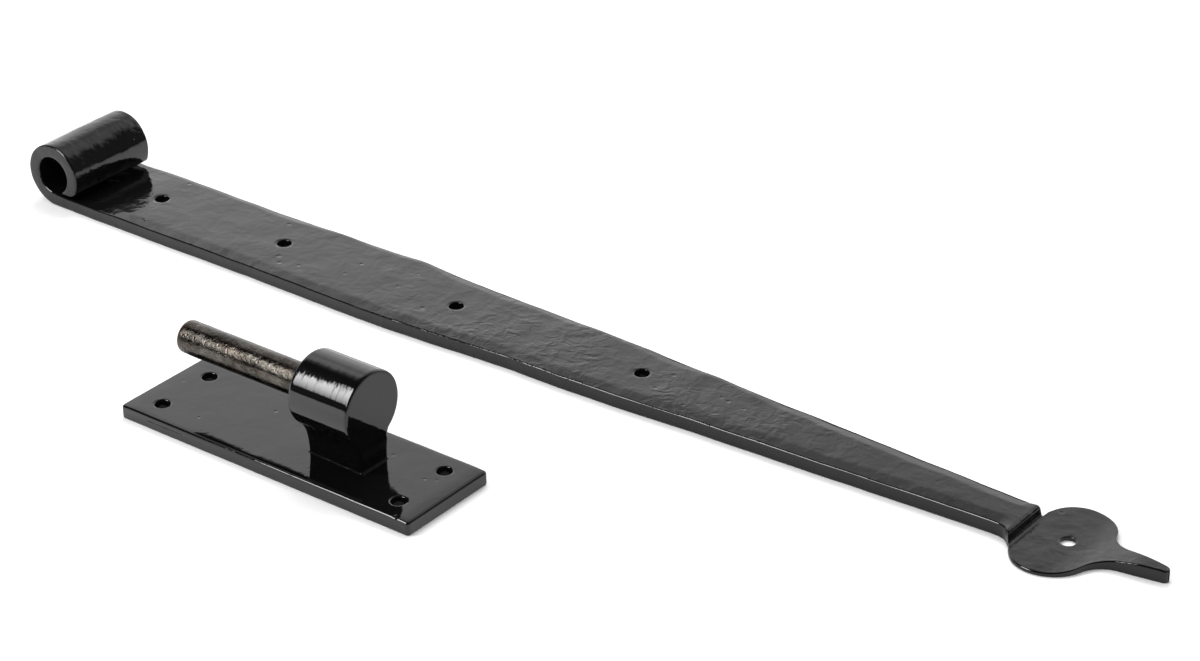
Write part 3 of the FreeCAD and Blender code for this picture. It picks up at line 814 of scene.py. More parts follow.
@dataclass
class Band:
    """The forged band: eye, strap, shoulder, round end and tail."""

    eye_radius: float = 16.0
    bore_radius: float = 9.25
    thickness: float = 6.0
    half_width: float = 25.0
    curl_end: float = -8.0
    curl_corner: float = 3.5
    scarf_radius: float = 100.0
    parallel_length: float = 205.0
    bend_radius: float = 600.0
    shoulder_reach: float = 526.0
    shoulder_half: float = 10.2
    near_hollow: float = 6.0
    far_hollow: float = 1.0
    heel_centre: Point = (542.1, 12.5)
    heel_radius: float = 14.5
    toe_centre: Point = (542.1, 9.0)
    toe_radius: float = 18.0
    neck_radius: float = 14.0
    tail_root: Point = (567.0, 5.8)
    tail_tip: Point = (590.0, 2.3)
    tail_corner: float = 2.1
    thin: float = 2.0
    tail_rise: Point = (548.0, 582.0)
    blunt_start: float = 586.5
    blunt_fall: float = 0.5
    hole_places: tuple[float, ...] = (46.0, 125.0, 229.0, 333.0)
    hole_offset: float = 1.5
    hole_sink: float = 0.34
    hole_paint: float = 0.1
    end_hole: float = 545.0
    end_hole_sink: float = 0.16
    end_hole_paint: float = 0.2
    hole_radius: float = 3.5
    hole_rim: float = 0.35
    edge_radius: float = 1.0
    low_edge_radius: float = 0.8
    thin_edge_radius: float = 0.75
    thin_low_edge_radius: float = 0.6
    crisp_end: float = 272.0
    crisp_fade: float = 25.0

    # How far the hammered edges stray from the drawn line, and how much thicker than its drawn size the
    # hammering left the strap, as places along the band and offsets
    FAR_WOBBLE = (
        (0, 0), (40, 0.3), (95, -0.3), (150, 0.1), (176, 1.0), (189, 1.7), (203, 0.9), (222, 0.1), (255, 0.3),
        (300, 1.0), (326, 1.4), (352, 0.7), (385, 0.2), (430, 0.5), (480, -0.2), (522, 0),
    )
    NEAR_WOBBLE = (
        (0, 0), (60, 0.2), (120, -0.3), (180, 0.3), (232, 0.3), (262, -0.6), (278, -0.5), (302, 0.7),
        (335, 1.0), (372, 0.3), (430, 0.4), (480, 0.1), (512, 0.2), (522, 0.0),
    )
    SWELLING = (
        (13, 0), (18, 0.08), (24, 0.34), (31, 0.62), (38, 0.80), (46, 0.86), (80, 0.9), (220, 0.9),
        (250, 1.0), (290, 1.2), (480, 1.2), (527, 0.9), (540, 0),
    )
    SHOULDER_FLARE = (
        (515, 0), (519, 0.4), (521, 0.9), (523, 1.8), (525, 2.8), (526, 3.1), (527, 2.9), (527.6, 2.3),
        (528.2, 1.2), (529.5, 0.3), (531, 0),
    )
    FAR_MARGIN = Margin(4.4, Waves(3.2, 27, 0, 40), 0.19, Waves(0.04, 17, 7, 90), growth=0.7, widest=5.8)
    NEAR_MARGIN = Margin(6.4, Waves(1.0, 24, 0, -40), 0.115, Waves(0.02, 17, 7, -90))

    # The waves of the strap's face, how much closer together the dents are across it, and how fully all of
    # them show by places along the band
    SWELLS = Waves(0.2, 26, 20)
    DENTS = Waves(0.14, 9.5, 50)
    FINE_DENTS = Waves(0.04, 4.2, 80)
    DENT_DRAW = 1.3
    HAMMERED = ((14, 0), (36, 1), (519, 1), (525, 0))

    # Where along the strap the dents are deepest: the middle, the spread, and their share elsewhere
    DEEPEST = (285, 95, 0.45)

    # The waves of the strap's and the round end's edges, and of the thin metal, which lies a little low
    NEAR_WAVES = Waves(0.22, 13, 5, 11)
    FAR_WAVES = Waves(0.25, 11, 5, 31)
    FAR_SCALLOPS = Waves(0.5, 27, 0, 40)
    NEAR_END_WAVES = Waves(0.12, 9, 5, 11)
    FAR_END_WAVES = Waves(0.12, 9, 5, 31)
    THIN_WAVES = Waves(0.06, 6.5, 30)
    THIN_FINE_WAVES = Waves(0.036, 3.4, 44)
    THIN_SINK = 0.096

    # The step down to the round end, by places from the shoulder's reach: how far its brow has fallen, and
    # how far its foot still stands above the thin metal
    BROW = ((-1.1, 0.0), (-0.5, 0.12), (0.0, 0.55), (0.35, 1.2))
    FOOT = ((1.05, 0.8), (1.5, 0.25), (2.3, 0.0))

    # Where the hammering left the face rough, between the last two holes, past them and on the eye: the
    # middle of each stretch, its spread and its strength
    ROUGH = ((292, 62, 0.9), (400, 60, 0.35), (0, 20, 0.4))
    LEAST_ROUGH = 0.22
    MOST_ROUGH = 1.1

    # The sections along the strap, as the start, the end and the step of each stretch, and how many of them
    # the curl's end, the round of the eye and the scarf have
    STRETCHES = (
        (13.0, 519.0, 1.7), (519.0, 527.2, 0.35), (527.2, 529.4, 0.14), (529.4, 534.9, 0.35),
        (535.0, 587.6, 0.7),
    )
    CURL_SECTIONS = 14
    ROUND_SECTIONS = 112
    SCARF_SECTIONS = 9

    def outline(self, flare: float) -> np.ndarray:
        """Trace one side of the plan, from the eye to the tip.

        Args:
            flare: The radius of the hollow between the strap and the round end.

        Returns:
            Rows of x and half width, with x always growing.
        """
        start, end = (self.parallel_length, self.half_width), (self.shoulder_reach, self.shoulder_half)
        turn = math.atan2(start[1] - end[1], end[0] - start[0])
        reach = self.bend_radius * math.tan(turn / 2)
        bend = [(start[0] - reach + self.bend_radius * math.sin(a),
                 start[1] - self.bend_radius * (1 - math.cos(a))) for a in np.linspace(0, turn, 12)]
        flare_centre, flare_start = touch(start, end, self.heel_centre, self.heel_radius, flare, -1)
        neck_centre, neck_end = touch(self.tail_root, self.tail_tip, self.toe_centre, self.toe_radius,
                                      self.neck_radius, 1)
        flare_end = toward(self.heel_centre, flare_centre, self.heel_radius)
        neck_start = toward(self.toe_centre, neck_centre, self.toe_radius)
        crown = (self.heel_centre[0], self.heel_centre[1] + self.heel_radius)
        corner = (self.tail_tip[0] - self.tail_corner, self.tail_tip[1] - self.tail_corner)
        points = [(-self.eye_radius, self.half_width), *bend]
        points += arc(flare_centre, flare_start, flare_end)
        points += arc(self.heel_centre, flare_end, crown)
        points += arc(self.toe_centre, crown, neck_start)
        points += arc(neck_centre, neck_start, neck_end)
        points += arc(corner, (corner[0], self.tail_tip[1]), (self.tail_tip[0], corner[1]))
        return np.array(points)

    def top_height(self, x: float) -> float:
        """Find how high the upper face stands above the lower one, anywhere past the eye.

        Args:
            x: Place along the band.

        Returns:
            The height, before the hammering takes any off.
        """
        full = self.thickness + read_table(x, self.SWELLING)
        reach, thin = self.shoulder_reach, self.thin
        if x < reach + 3:
            brow = [(reach + place, full - fall) for place, fall in self.BROW]
            foot = [(reach + place, thin + rest) for place, rest in self.FOOT]
            return read_table(x, (*brow, *foot))
        start, end = self.tail_rise
        blunted = max(0.0, (x - self.blunt_start) / (self.tail_tip[0] - self.blunt_start))
        risen = ease(clamp((x - start) / (end - start)))
        return thin + (full - thin) * risen - self.blunt_fall * blunted ** 2

    def busy(self, x: float, y: float, _: float) -> float:
        """Say how rough the hammering left the face at a place.

        Args:
            x: Place along the band.
            y: Place across it. Between the last two holes, the near half is the rougher one.

        Returns:
            The roughness, for the finish's Busy input.
        """
        holes, past, eye = (strength * math.exp(-((x - middle) / spread) ** 2)
                            for middle, spread, strength in self.ROUGH)
        holes *= 0.7 - 0.3 * math.tanh((y + 2) / 7)
        return min(self.MOST_ROUGH, self.LEAST_ROUGH + holes + past + eye)

    def face_lift(self, x: float, u: float, near: float, far: float) -> float:
        """Find how far the hammered upper face of the strap stands above its drawn flat, never above zero.

        Args:
            x: Place along the band.
            u: Place across it.
            near: How far it reaches to the near side there.
            far: How far it reaches to the far side there.

        Returns:
            The lift.
        """
        drop = self.FAR_MARGIN.fall(x, far - u) + self.NEAR_MARGIN.fall(x, near + u)
        middle, spread, least = self.DEEPEST
        busy = least + (1 - least) * math.exp(-((x - middle) / spread) ** 2)
        dents = busy * (self.DENTS.below_crest(x, self.DENT_DRAW * u) + self.FINE_DENTS.at(x, u))
        return -read_table(x, self.HAMMERED) * (drop + self.SWELLS.below_crest(x, u) + dents)

    def strap_rings(self) -> list[np.ndarray]:
        """Draw the sections of the strap, the round end and the tail.

        Returns:
            The rings, from the eye to the tip.
        """
        near_plan, far_plan = self.outline(self.near_hollow), self.outline(self.far_hollow)
        tip = self.tail_tip[0] - self.tail_corner * (1 - np.sin(np.linspace(0, math.pi / 2, 9)))
        places = np.concatenate([*(np.arange(*stretch) for stretch in self.STRETCHES), tip])
        return [self.strap_ring(float(x), near_plan, far_plan) for x in places]

    def strap_ring(self, x: float, near_plan: np.ndarray, far_plan: np.ndarray) -> np.ndarray:
        """Draw the section at one place along the strap.

        Args:
            x: Place along the band.
            near_plan: The near side's outline.
            far_plan: The far side's outline.

        Returns:
            The ring of points.
        """
        near, far = self.reach_at(x, near_plan, far_plan)
        under = np.array([x, -self.eye_radius])
        over = np.array([x, -self.eye_radius + self.top_height(x)])
        if x < self.shoulder_reach - 1:
            crisp = clamp((self.crisp_end - x) / self.crisp_fade)
            return section_ring(under, over, near, far, self.edge_radius, self.low_edge_radius,
                                lambda u: self.face_lift(x, u, near, far), crisp=crisp)
        thinness = clamp((x - self.shoulder_reach) / 2)
        soft = self.edge_radius + (self.thin_edge_radius - self.edge_radius) * thinness
        grown = min(1.0, (x - self.shoulder_reach + 1) / 4)

        def lift(u: float) -> float:
            """The soft waves of the thin metal."""
            return grown * (self.THIN_WAVES.at(x, u) + self.THIN_FINE_WAVES.at(x, u) - self.THIN_SINK)

        return section_ring(under, over, near, far, soft, self.thin_low_edge_radius, lift)

    def reach_at(self, x: float, near_plan: np.ndarray, far_plan: np.ndarray) -> Point:
        """Find how far the bar reaches to both sides at one place along it.

        Args:
            x: Place along the band.
            near_plan: The near side's outline.
            far_plan: The far side's outline.

        Returns:
            The reach to the near and to the far side.
        """
        near = float(np.interp(x, near_plan[:, 0], near_plan[:, 1]))
        far = float(np.interp(x, far_plan[:, 0], far_plan[:, 1]))
        if x < self.shoulder_reach:
            near += read_table(x, self.NEAR_WOBBLE) + self.NEAR_WAVES.at(x)
            far += read_table(x, self.FAR_WOBBLE) + self.FAR_WAVES.at(x) - self.FAR_SCALLOPS.at(x)
        near += read_table(x, self.SHOULDER_FLARE)
        if self.shoulder_reach < x < self.tail_tip[0] - 4:
            near += self.NEAR_END_WAVES.at(x)
            far += self.FAR_END_WAVES.at(x)
        return near, far

    def eye_rings(self) -> list[np.ndarray]:
        """Draw the sections of the curl's end, the round of the eye and the scarf.

        Returns:
            The rings, from the curl's end to where the strap starts.
        """
        pairs = []
        corner_z = self.curl_end + self.curl_corner
        corner_x = math.sqrt((self.eye_radius - self.curl_corner) ** 2 - corner_z ** 2)
        first = math.atan2(corner_z, corner_x)
        inner_end = math.atan2(self.curl_end, math.sqrt(self.bore_radius ** 2 - self.curl_end ** 2))
        for share in np.linspace(1, 0, self.CURL_SECTIONS, endpoint=False):
            a = first + share * (-math.pi / 2 - first)
            b = first + share * (inner_end - first)
            outer = (corner_x + self.curl_corner * math.cos(a), corner_z + self.curl_corner * math.sin(a))
            pairs.append((outer, (self.bore_radius * math.cos(b), self.bore_radius * math.sin(b))))
        scarf_z = self.scarf_radius - self.eye_radius + self.thickness
        scarf_x = math.sqrt((self.scarf_radius - self.bore_radius) ** 2 - scarf_z ** 2)
        leave = math.atan2(-scarf_z, -scarf_x) + math.tau
        for a in np.linspace(first, leave, self.ROUND_SECTIONS):
            spot = np.array([math.cos(a), math.sin(a)])
            pairs.append((tuple(self.eye_radius * spot), tuple(self.bore_radius * spot)))
        start_under, start_over = pairs[-1]
        for share in np.linspace(0, 1, self.SCARF_SECTIONS + 1)[1:]:
            x = start_over[0] + share * (scarf_x - start_over[0])
            low = start_under[0] + share * (scarf_x - start_under[0])
            under = (low, -math.sqrt(self.eye_radius ** 2 - low ** 2) if low < 0 else -self.eye_radius)
            pairs.append((under, (x, scarf_z - math.sqrt(self.scarf_radius ** 2 - (x - scarf_x) ** 2))))
        return [self.eye_ring(number, np.array(under), np.array(over))
                for number, (under, over) in enumerate(pairs)]

    def eye_ring(self, number: int, under: np.ndarray, over: np.ndarray) -> np.ndarray:
        """Draw one section of the eye, with the soft waves that rolling leaves in it.

        Args:
            number: The section's number, counted from the curl's end.
            under: The x and z of the outer face.
            over: The x and z of the bore's face.

        Returns:
            The ring of points.
        """
        near = self.half_width + 0.25 * ripple(under[0], 5, under[1], 14)
        far = self.half_width + 0.25 * ripple(under[0], 25, under[1], 14)
        ring = section_ring(under, over, near, far, 0.9, 1.0, lambda u: 0.0)
        if 2 < number < self.CURL_SECTIONS + self.ROUND_SECTIONS - 2:
            way = (under - over) / math.dist(under, over)
            outer = np.linalg.norm(ring[:, [0, 2]] - over, axis=1) / math.dist(under, over)
            for point, share in zip(ring, outer):
                along = ripple(point[0], 0.3 * point[1], point[2], 8.0) - 0.6
                broad = ripple(point[0], 0.8 * point[1], point[2] + 50, 22.0) - 0.6
                dent = min(share, 1.0) * (0.14 * along + 0.38 * broad)
                point[0] += dent * way[0]
                point[2] += dent * way[1]
        return ring

    def build(self, tree: bpy.types.NodeTree, paint: bpy.types.Material) -> None:
        """Build the whole band.

        Args:
            tree: The tree that makes the drills.
            paint: Its finish.
        """
        obj = loft("band_forged", self.eye_rings() + self.strap_rings(), ladder=4)
        obj.data.materials.append(paint)
        for x in self.hole_places:
            height = self.top_height(x) - self.hole_sink
            centre = (x, self.hole_offset, -self.eye_radius + height / 2)
            drill_holes(obj, tree, [centre], self.hole_radius - self.hole_paint, self.hole_rim, height)
        centre = (self.end_hole, 0.0, -self.eye_radius + self.thin / 2)
        drill_holes(obj, tree, [centre], self.hole_radius - self.end_hole_paint, self.hole_rim,
                    self.thin - self.end_hole_sink)
        mark(obj, BUSY, self.busy)
        hand_over(obj, Node.BAND, Slot.BAND, 38)


def arc(centre: Point, start: Point, end: Point) -> list[Point]:
    """Draw the shorter arc about a centre.

    Args:
        centre: The arc's centre.
        start: Where it starts.
        end: A point in the direction of its end.

    Returns:
        Points along the arc.
    """
    radius = math.dist(centre, start)
    first = math.atan2(start[1] - centre[1], start[0] - centre[0])
    sweep = math.remainder(math.atan2(end[1] - centre[1], end[0] - centre[0]) - first, math.tau)
    angles = first + sweep * np.linspace(0, 1, 24)
    return [(centre[0] + radius * math.cos(a), centre[1] + radius * math.sin(a)) for a in angles]


def toward(start: Point, target: Point, distance: float) -> Point:
    """The point at a distance from start on the way to target."""
    share = distance / math.dist(start, target)
    return start[0] + (target[0] - start[0]) * share, start[1] + (target[1] - start[1]) * share


def touch(start: Point, end: Point, centre: Point, radius: float, fillet: float,
          side: int) -> tuple[Point, Point]:
    """Find a hollow arc that touches a straight side and a round one from outside.

    Args:
        start: Where the straight side starts.
        end: Where it ends.
        centre: The round side's centre.
        radius: The round side's radius.
        fillet: The hollow arc's radius.
        side: -1 where the arc comes before the round side, 1 where it comes after it.

    Returns:
        The arc's centre, and where it touches the straight side.
    """
    length = math.dist(start, end)
    along = np.array([end[0] - start[0], end[1] - start[1]]) / length
    outward = np.array([-along[1], along[0]])
    base = np.array(start) + outward * fillet
    offset = base - np.array(centre)
    middle = float(offset @ along)
    rest = float(offset @ offset) - (radius + fillet) ** 2
    found = base + along * (-middle + side * math.sqrt(middle ** 2 - rest))
    return tuple(found), tuple(found - outward * fillet)


@dataclass
class Hook:
    """The hook: its back plate, its boss and its pin."""

    centre: Point = (250.0, -126.0)
    floor: float = -16.0
    plate_length: float = 160.0
    plate_width: float = 51.0
    plate_thickness: float = 6.5
    plate_edge: float = 1.1
    plate_corner: float = 1.4
    low_edge_radius: float = 0.7
    side_wave: float = 0.10
    face_wave: float = 0.035
    long_edge_fall: float = 0.16
    worn_reach: float = 6.5
    worn_left: float = 0.14
    worn_right: float = 0.30
    hole_pitch: Point = (132.0, 29.0)
    hole_radius: float = 3.5
    hole_rim: float = 0.4
    hole_paint: float = 0.1
    hole_sink: float = 0.2
    boss_x: Point = (259.4, 291.2)
    boss_radius: float = 16.5
    boss_edge: float = 1.0
    melt_voxel: float = 0.34
    melt_rounds: int = 5
    neck_half: float = 9.25
    neck_inset: float = 1.6
    neck_skew: float = 0.033
    neck_corner: float = 1.0
    neck_hollow: float = 3.2
    far_spread: float = 0.8
    back_spread: float = 0.55
    foot_fillet: float = 0.95
    foot_sink: float = 0.6
    near_foot_share: float = 0.45
    end_step: float = 0.6
    end_step_top: float = 11.3
    end_step_height: float = 7.3
    tenon_radius: float = 6.0
    head_radius: float = 8.0
    head_depth: float = 2.0
    pin_radius: float = 7.5
    pin_height: float = 34.3
    pin_tip: float = 187.4
    pin_tip_radius: float = 1.6
    spigot_radius: float = 7.0
    spigot_length: float = 22.0
    spigot_play: float = 0.02

    # The near side of the neck leans in towards its foot: heights above the plate and half widths
    NECK_LEAN = (
        (0, 7.6), (3, 7.8), (6, 8.1), (9, 8.6), (11.5, 9.3), (13.5, 10.1), (15.5, 11.2), (17.5, 12.6),
        (19.5, 14.0), (22, 14.8), (30, 14.8),
    )
    FOOT_LEVELS = (0.0, 0.08, 0.2, 0.35, 0.55, 0.75, 1.0, 2.0)

    @property
    def axis_z(self) -> float:
        """The height of the pin's axis."""
        return self.floor + self.pin_height

    @property
    def axis(self) -> tuple[float, float, float]:
        """A point on the pin's axis."""
        return 0.0, self.centre[1], self.axis_z

    @property
    def face_z(self) -> float:
        """The height of the plate's upper face."""
        return self.floor + self.plate_thickness

    @property
    def boss_middle(self) -> float:
        """The middle of the boss, along X."""
        return sum(self.boss_x) / 2

    @property
    def plate_ends(self) -> Point:
        """Where the plate starts and ends, along X."""
        return self.centre[0] - self.plate_length / 2, self.centre[0] + self.plate_length / 2

    def plate_ring(self, x: float) -> np.ndarray:
        """Draw one cross-section of the plate, with the soft waves of rolled and cut bar.

        Args:
            x: Place along the plate.

        Returns:
            The ring of points.
        """
        inset = min(x - self.plate_ends[0], self.plate_ends[1] - x)
        half = self.plate_width / 2 - rounded_fall(self.plate_corner, inset)
        fall = rounded_fall(self.plate_edge, inset)
        worn = self.worn_right if x > self.centre[0] else self.worn_left
        worn *= max(0.0, 1 - inset / self.worn_reach) ** 1.6
        under = np.array([x, self.floor + 0.35 * fall])
        over = np.array([x, self.face_z - fall - worn])
        near = half + self.side_wave * (ripple(x, 8, 1, 15) - 1)
        far = half + self.side_wave * (ripple(x, 28, 1, 15) - 1)

        def lift(u: float) -> float:
            """The face's waves: it falls a little to each long edge."""
            edge = max(0.0, 1 - (half - abs(u)) / (3.0 + 1.2 * ripple(x, 50 + u, 2, 18)))
            return -self.long_edge_fall * edge ** 1.5 - self.face_wave * (1 + ripple(x, u, 12, 16))

        # A crease runs along both sides, deeper on the left, and stops short of the plate's ends
        depth = 1 if x < 225 else 0.3
        crease = max(0.0, 0.10 + 0.12 * ripple(x, 3, 81, 14) + 0.08 * ripple(x, 3, 91, 3)) * depth
        ring = section_ring(under, over, near, far, self.plate_edge, self.low_edge_radius, lift,
                            crease if inset > 3 else 0.0)
        ring[:, 1] += self.centre[1]
        return ring

    def build_plate(self, tree: bpy.types.NodeTree, paint: bpy.types.Material) -> None:
        """Build the back plate, with its screw holes and the countersunk hole for the tenon.

        Args:
            tree: The tree that makes the drills.
            paint: Its finish.
        """
        left, right = self.plate_ends
        end = 1.6 * (1 - np.cos(np.linspace(0, math.pi / 2, 9)))
        places = np.concatenate([left + end, np.arange(left + 2.6, right - 2.2, 1.3), right - end[::-1]])
        obj = loft("plate_painted", [self.plate_ring(float(x)) for x in places], ladder=4)
        obj.data.materials.append(paint)
        combine(obj, self.tenon("tenon_drill", 1.0), Work.CUT)
        middle = (self.floor + self.face_z) / 2
        half_x, half_y = self.hole_pitch[0] / 2, self.hole_pitch[1] / 2
        centres = [(self.centre[0] + sx * half_x, self.centre[1] + sy * half_y, middle)
                   for sx in (-1, 1) for sy in (-1, 1)]
        drill_holes(obj, tree, centres, self.hole_radius - self.hole_paint, self.hole_rim,
                    self.plate_thickness - self.hole_sink)
        mark(obj, BUSY, lambda x, y, z: 0.5)
        hand_over(obj, Node.PLATE, Slot.PLATE, 38)

    def tenon(self, name: str, overshoot: float) -> bpy.types.Object:
        """Turn the tenon with its riveted head.

        Args:
            name: The object's name.
            overshoot: How far it runs on below the plate's back, as a drill does, or 0.

        Returns:
            The new object.
        """
        profile = [(self.floor, self.head_radius), (self.floor + self.head_depth, self.tenon_radius),
                   (self.face_z + 1.0, self.tenon_radius)]
        if overshoot > 0:
            profile.insert(0, (self.floor - overshoot, self.head_radius + 0.001))
        return turned(name, profile, (self.boss_middle, self.centre[1], 0.0), Axis.Z, 72)

    def build_boss(self, paint: bpy.types.Material) -> None:
        """Build the boss: a barrel on a neck, melted together as thick paint does, with the pin's bore.

        Args:
            paint: Its finish.
        """
        start, end = self.boss_x
        edge = quarter_round(self.boss_edge)
        profile = [(start + along, self.boss_radius - inward) for along, inward in edge]
        profile += [(end - along, self.boss_radius - inward) for along, inward in reversed(edge)]
        obj = turned("boss_painted", profile, self.axis, Axis.X, 160)
        combine(obj, self.neck(), Work.JOIN)
        combine(obj, self.tenon("tenon", 0.0), Work.JOIN)
        melt = obj.modifiers.new("melt", "REMESH")
        melt.mode = "VOXEL"
        melt.voxel_size = self.melt_voxel * MM
        melt.use_smooth_shade = True
        soften = obj.modifiers.new("soften", "SMOOTH")
        soften.factor = 0.5
        soften.iterations = self.melt_rounds
        bake(obj)
        bore = [(start - 2, self.spigot_radius), (start + self.spigot_length, self.spigot_radius)]
        combine(obj, turned("spigot_drill", bore, self.axis, Axis.X, 96), Work.CUT)
        obj.data.materials.clear()
        obj.data.materials.append(paint)
        mark(obj, BUSY, lambda x, y, z: 0.12 + 0.88 * clamp((z - 1.5) / 5))
        hand_over(obj, Node.BOSS, Slot.BOSS, 50)

    def neck(self) -> bpy.types.Object:
        """Build the neck under the barrel, spread a little at its foot and into the barrel.

        Returns:
            The new object.
        """
        start, end = self.boss_x[0] + self.neck_inset, self.boss_x[1]
        low, high = self.face_z, self.axis_z - 3
        meet = self.axis_z - math.sqrt(self.boss_radius ** 2 - self.neck_half ** 2)
        heights = [low - self.foot_sink, *(low + level for level in self.FOOT_LEVELS),
                   *np.linspace(low + 3, meet - 3.4, 6), *np.linspace(meet - 3.0, high - 5.0, 16), high]
        rings = []
        for z in heights:
            short = clamp(1 - (z - low) / self.foot_fillet)
            foot = self.foot_fillet * (1 - math.sqrt(1 - short * short))
            hollow = clamp(1 - (meet - z) / self.neck_hollow) ** 2
            near = self.near_foot_share * foot + read_table(z - low, self.NECK_LEAN)
            far = self.neck_half + foot + self.far_spread * hollow
            back = start - foot - self.back_spread * hollow
            set_back = self.end_step * ease(clamp((self.end_step_top - z + low) / self.end_step_height))
            rings.append(self.neck_ring(z, back, end - set_back + min(foot, self.end_step), near, far))
        return loft("neck", rings)

    def neck_ring(self, z: float, start: float, end: float, near: float, far: float) -> np.ndarray:
        """Draw a level section of the neck, with rounded corners.

        Args:
            z: The section's height.
            start: Where it starts along X.
            end: Where it ends along X.
            near: How far it reaches to the near side.
            far: How far it reaches to the far side.

        Returns:
            The ring of points.
        """
        radius = self.neck_corner
        points = []
        for cx, cy, turn in ((end - radius, far - radius, 0), (start + radius, far - radius, 1),
                             (start + radius, -near + radius, 2), (end - radius, -near + radius, 3)):
            for a in np.linspace(0, math.pi / 2, 6):
                angle = a + turn * math.pi / 2
                x = cx + radius * math.cos(angle)
                skewed = cy + radius * math.sin(angle) - self.neck_skew * (x - self.boss_middle)
                points.append((x, self.centre[1] + skewed, z))
        return np.array(points)

    def build_pin(self, steel: bpy.types.Material) -> None:
        """Turn the pin, with a softened tip, a faintly uneven skin and its spigot in the boss.

        Args:
            steel: Its finish.
        """
        face, tip, soft = self.boss_x[0], self.pin_tip, self.pin_tip_radius
        spigot = self.spigot_radius - self.spigot_play
        profile = [(tip, self.pin_radius - soft - 2.4), (tip, self.pin_radius - soft - 0.6)]
        profile += [(tip + along, self.pin_radius - inward) for along, inward in quarter_round(soft)]
        profile += [(x, self.pin_radius) for x in np.arange(tip + 2.6, face - 0.6, 1.2)]
        profile += [(face, self.pin_radius), (face, spigot), (face + self.spigot_length - 0.1, spigot)]
        obj = turned("pin_bare", profile, self.axis, Axis.X, 112)
        obj.data.materials.append(steel)
        mark(obj, RUST, self.rust_at)
        for vertex in obj.data.vertices:
            x, y, z = vertex.co / MM
            if x < face - 0.4:
                share = 1 - 0.008 * (1 + ripple(x, y, z, 5.0)) - 0.006 * (1 + ripple(x, y, z, 13.0))
                away_y, away_z = share * (y - self.centre[1]), share * (z - self.axis_z)
                vertex.co = Vector((x, self.centre[1] + away_y, self.axis_z + away_z)) * MM
        hand_over(obj, Node.PIN, Slot.STEEL, 40)

    def rust_at(self, x: float, y: float, z: float) -> float:
        """How much rust shows at a place: most of it at the pin's tip."""
        close = max(0.0, 1 - (x - self.pin_tip) / 5.0)
        return min(1.0, 0.04 + 0.95 * close ** 1.5 + 0.45 * max(0.0, ripple(x, y, z, 9.0)))


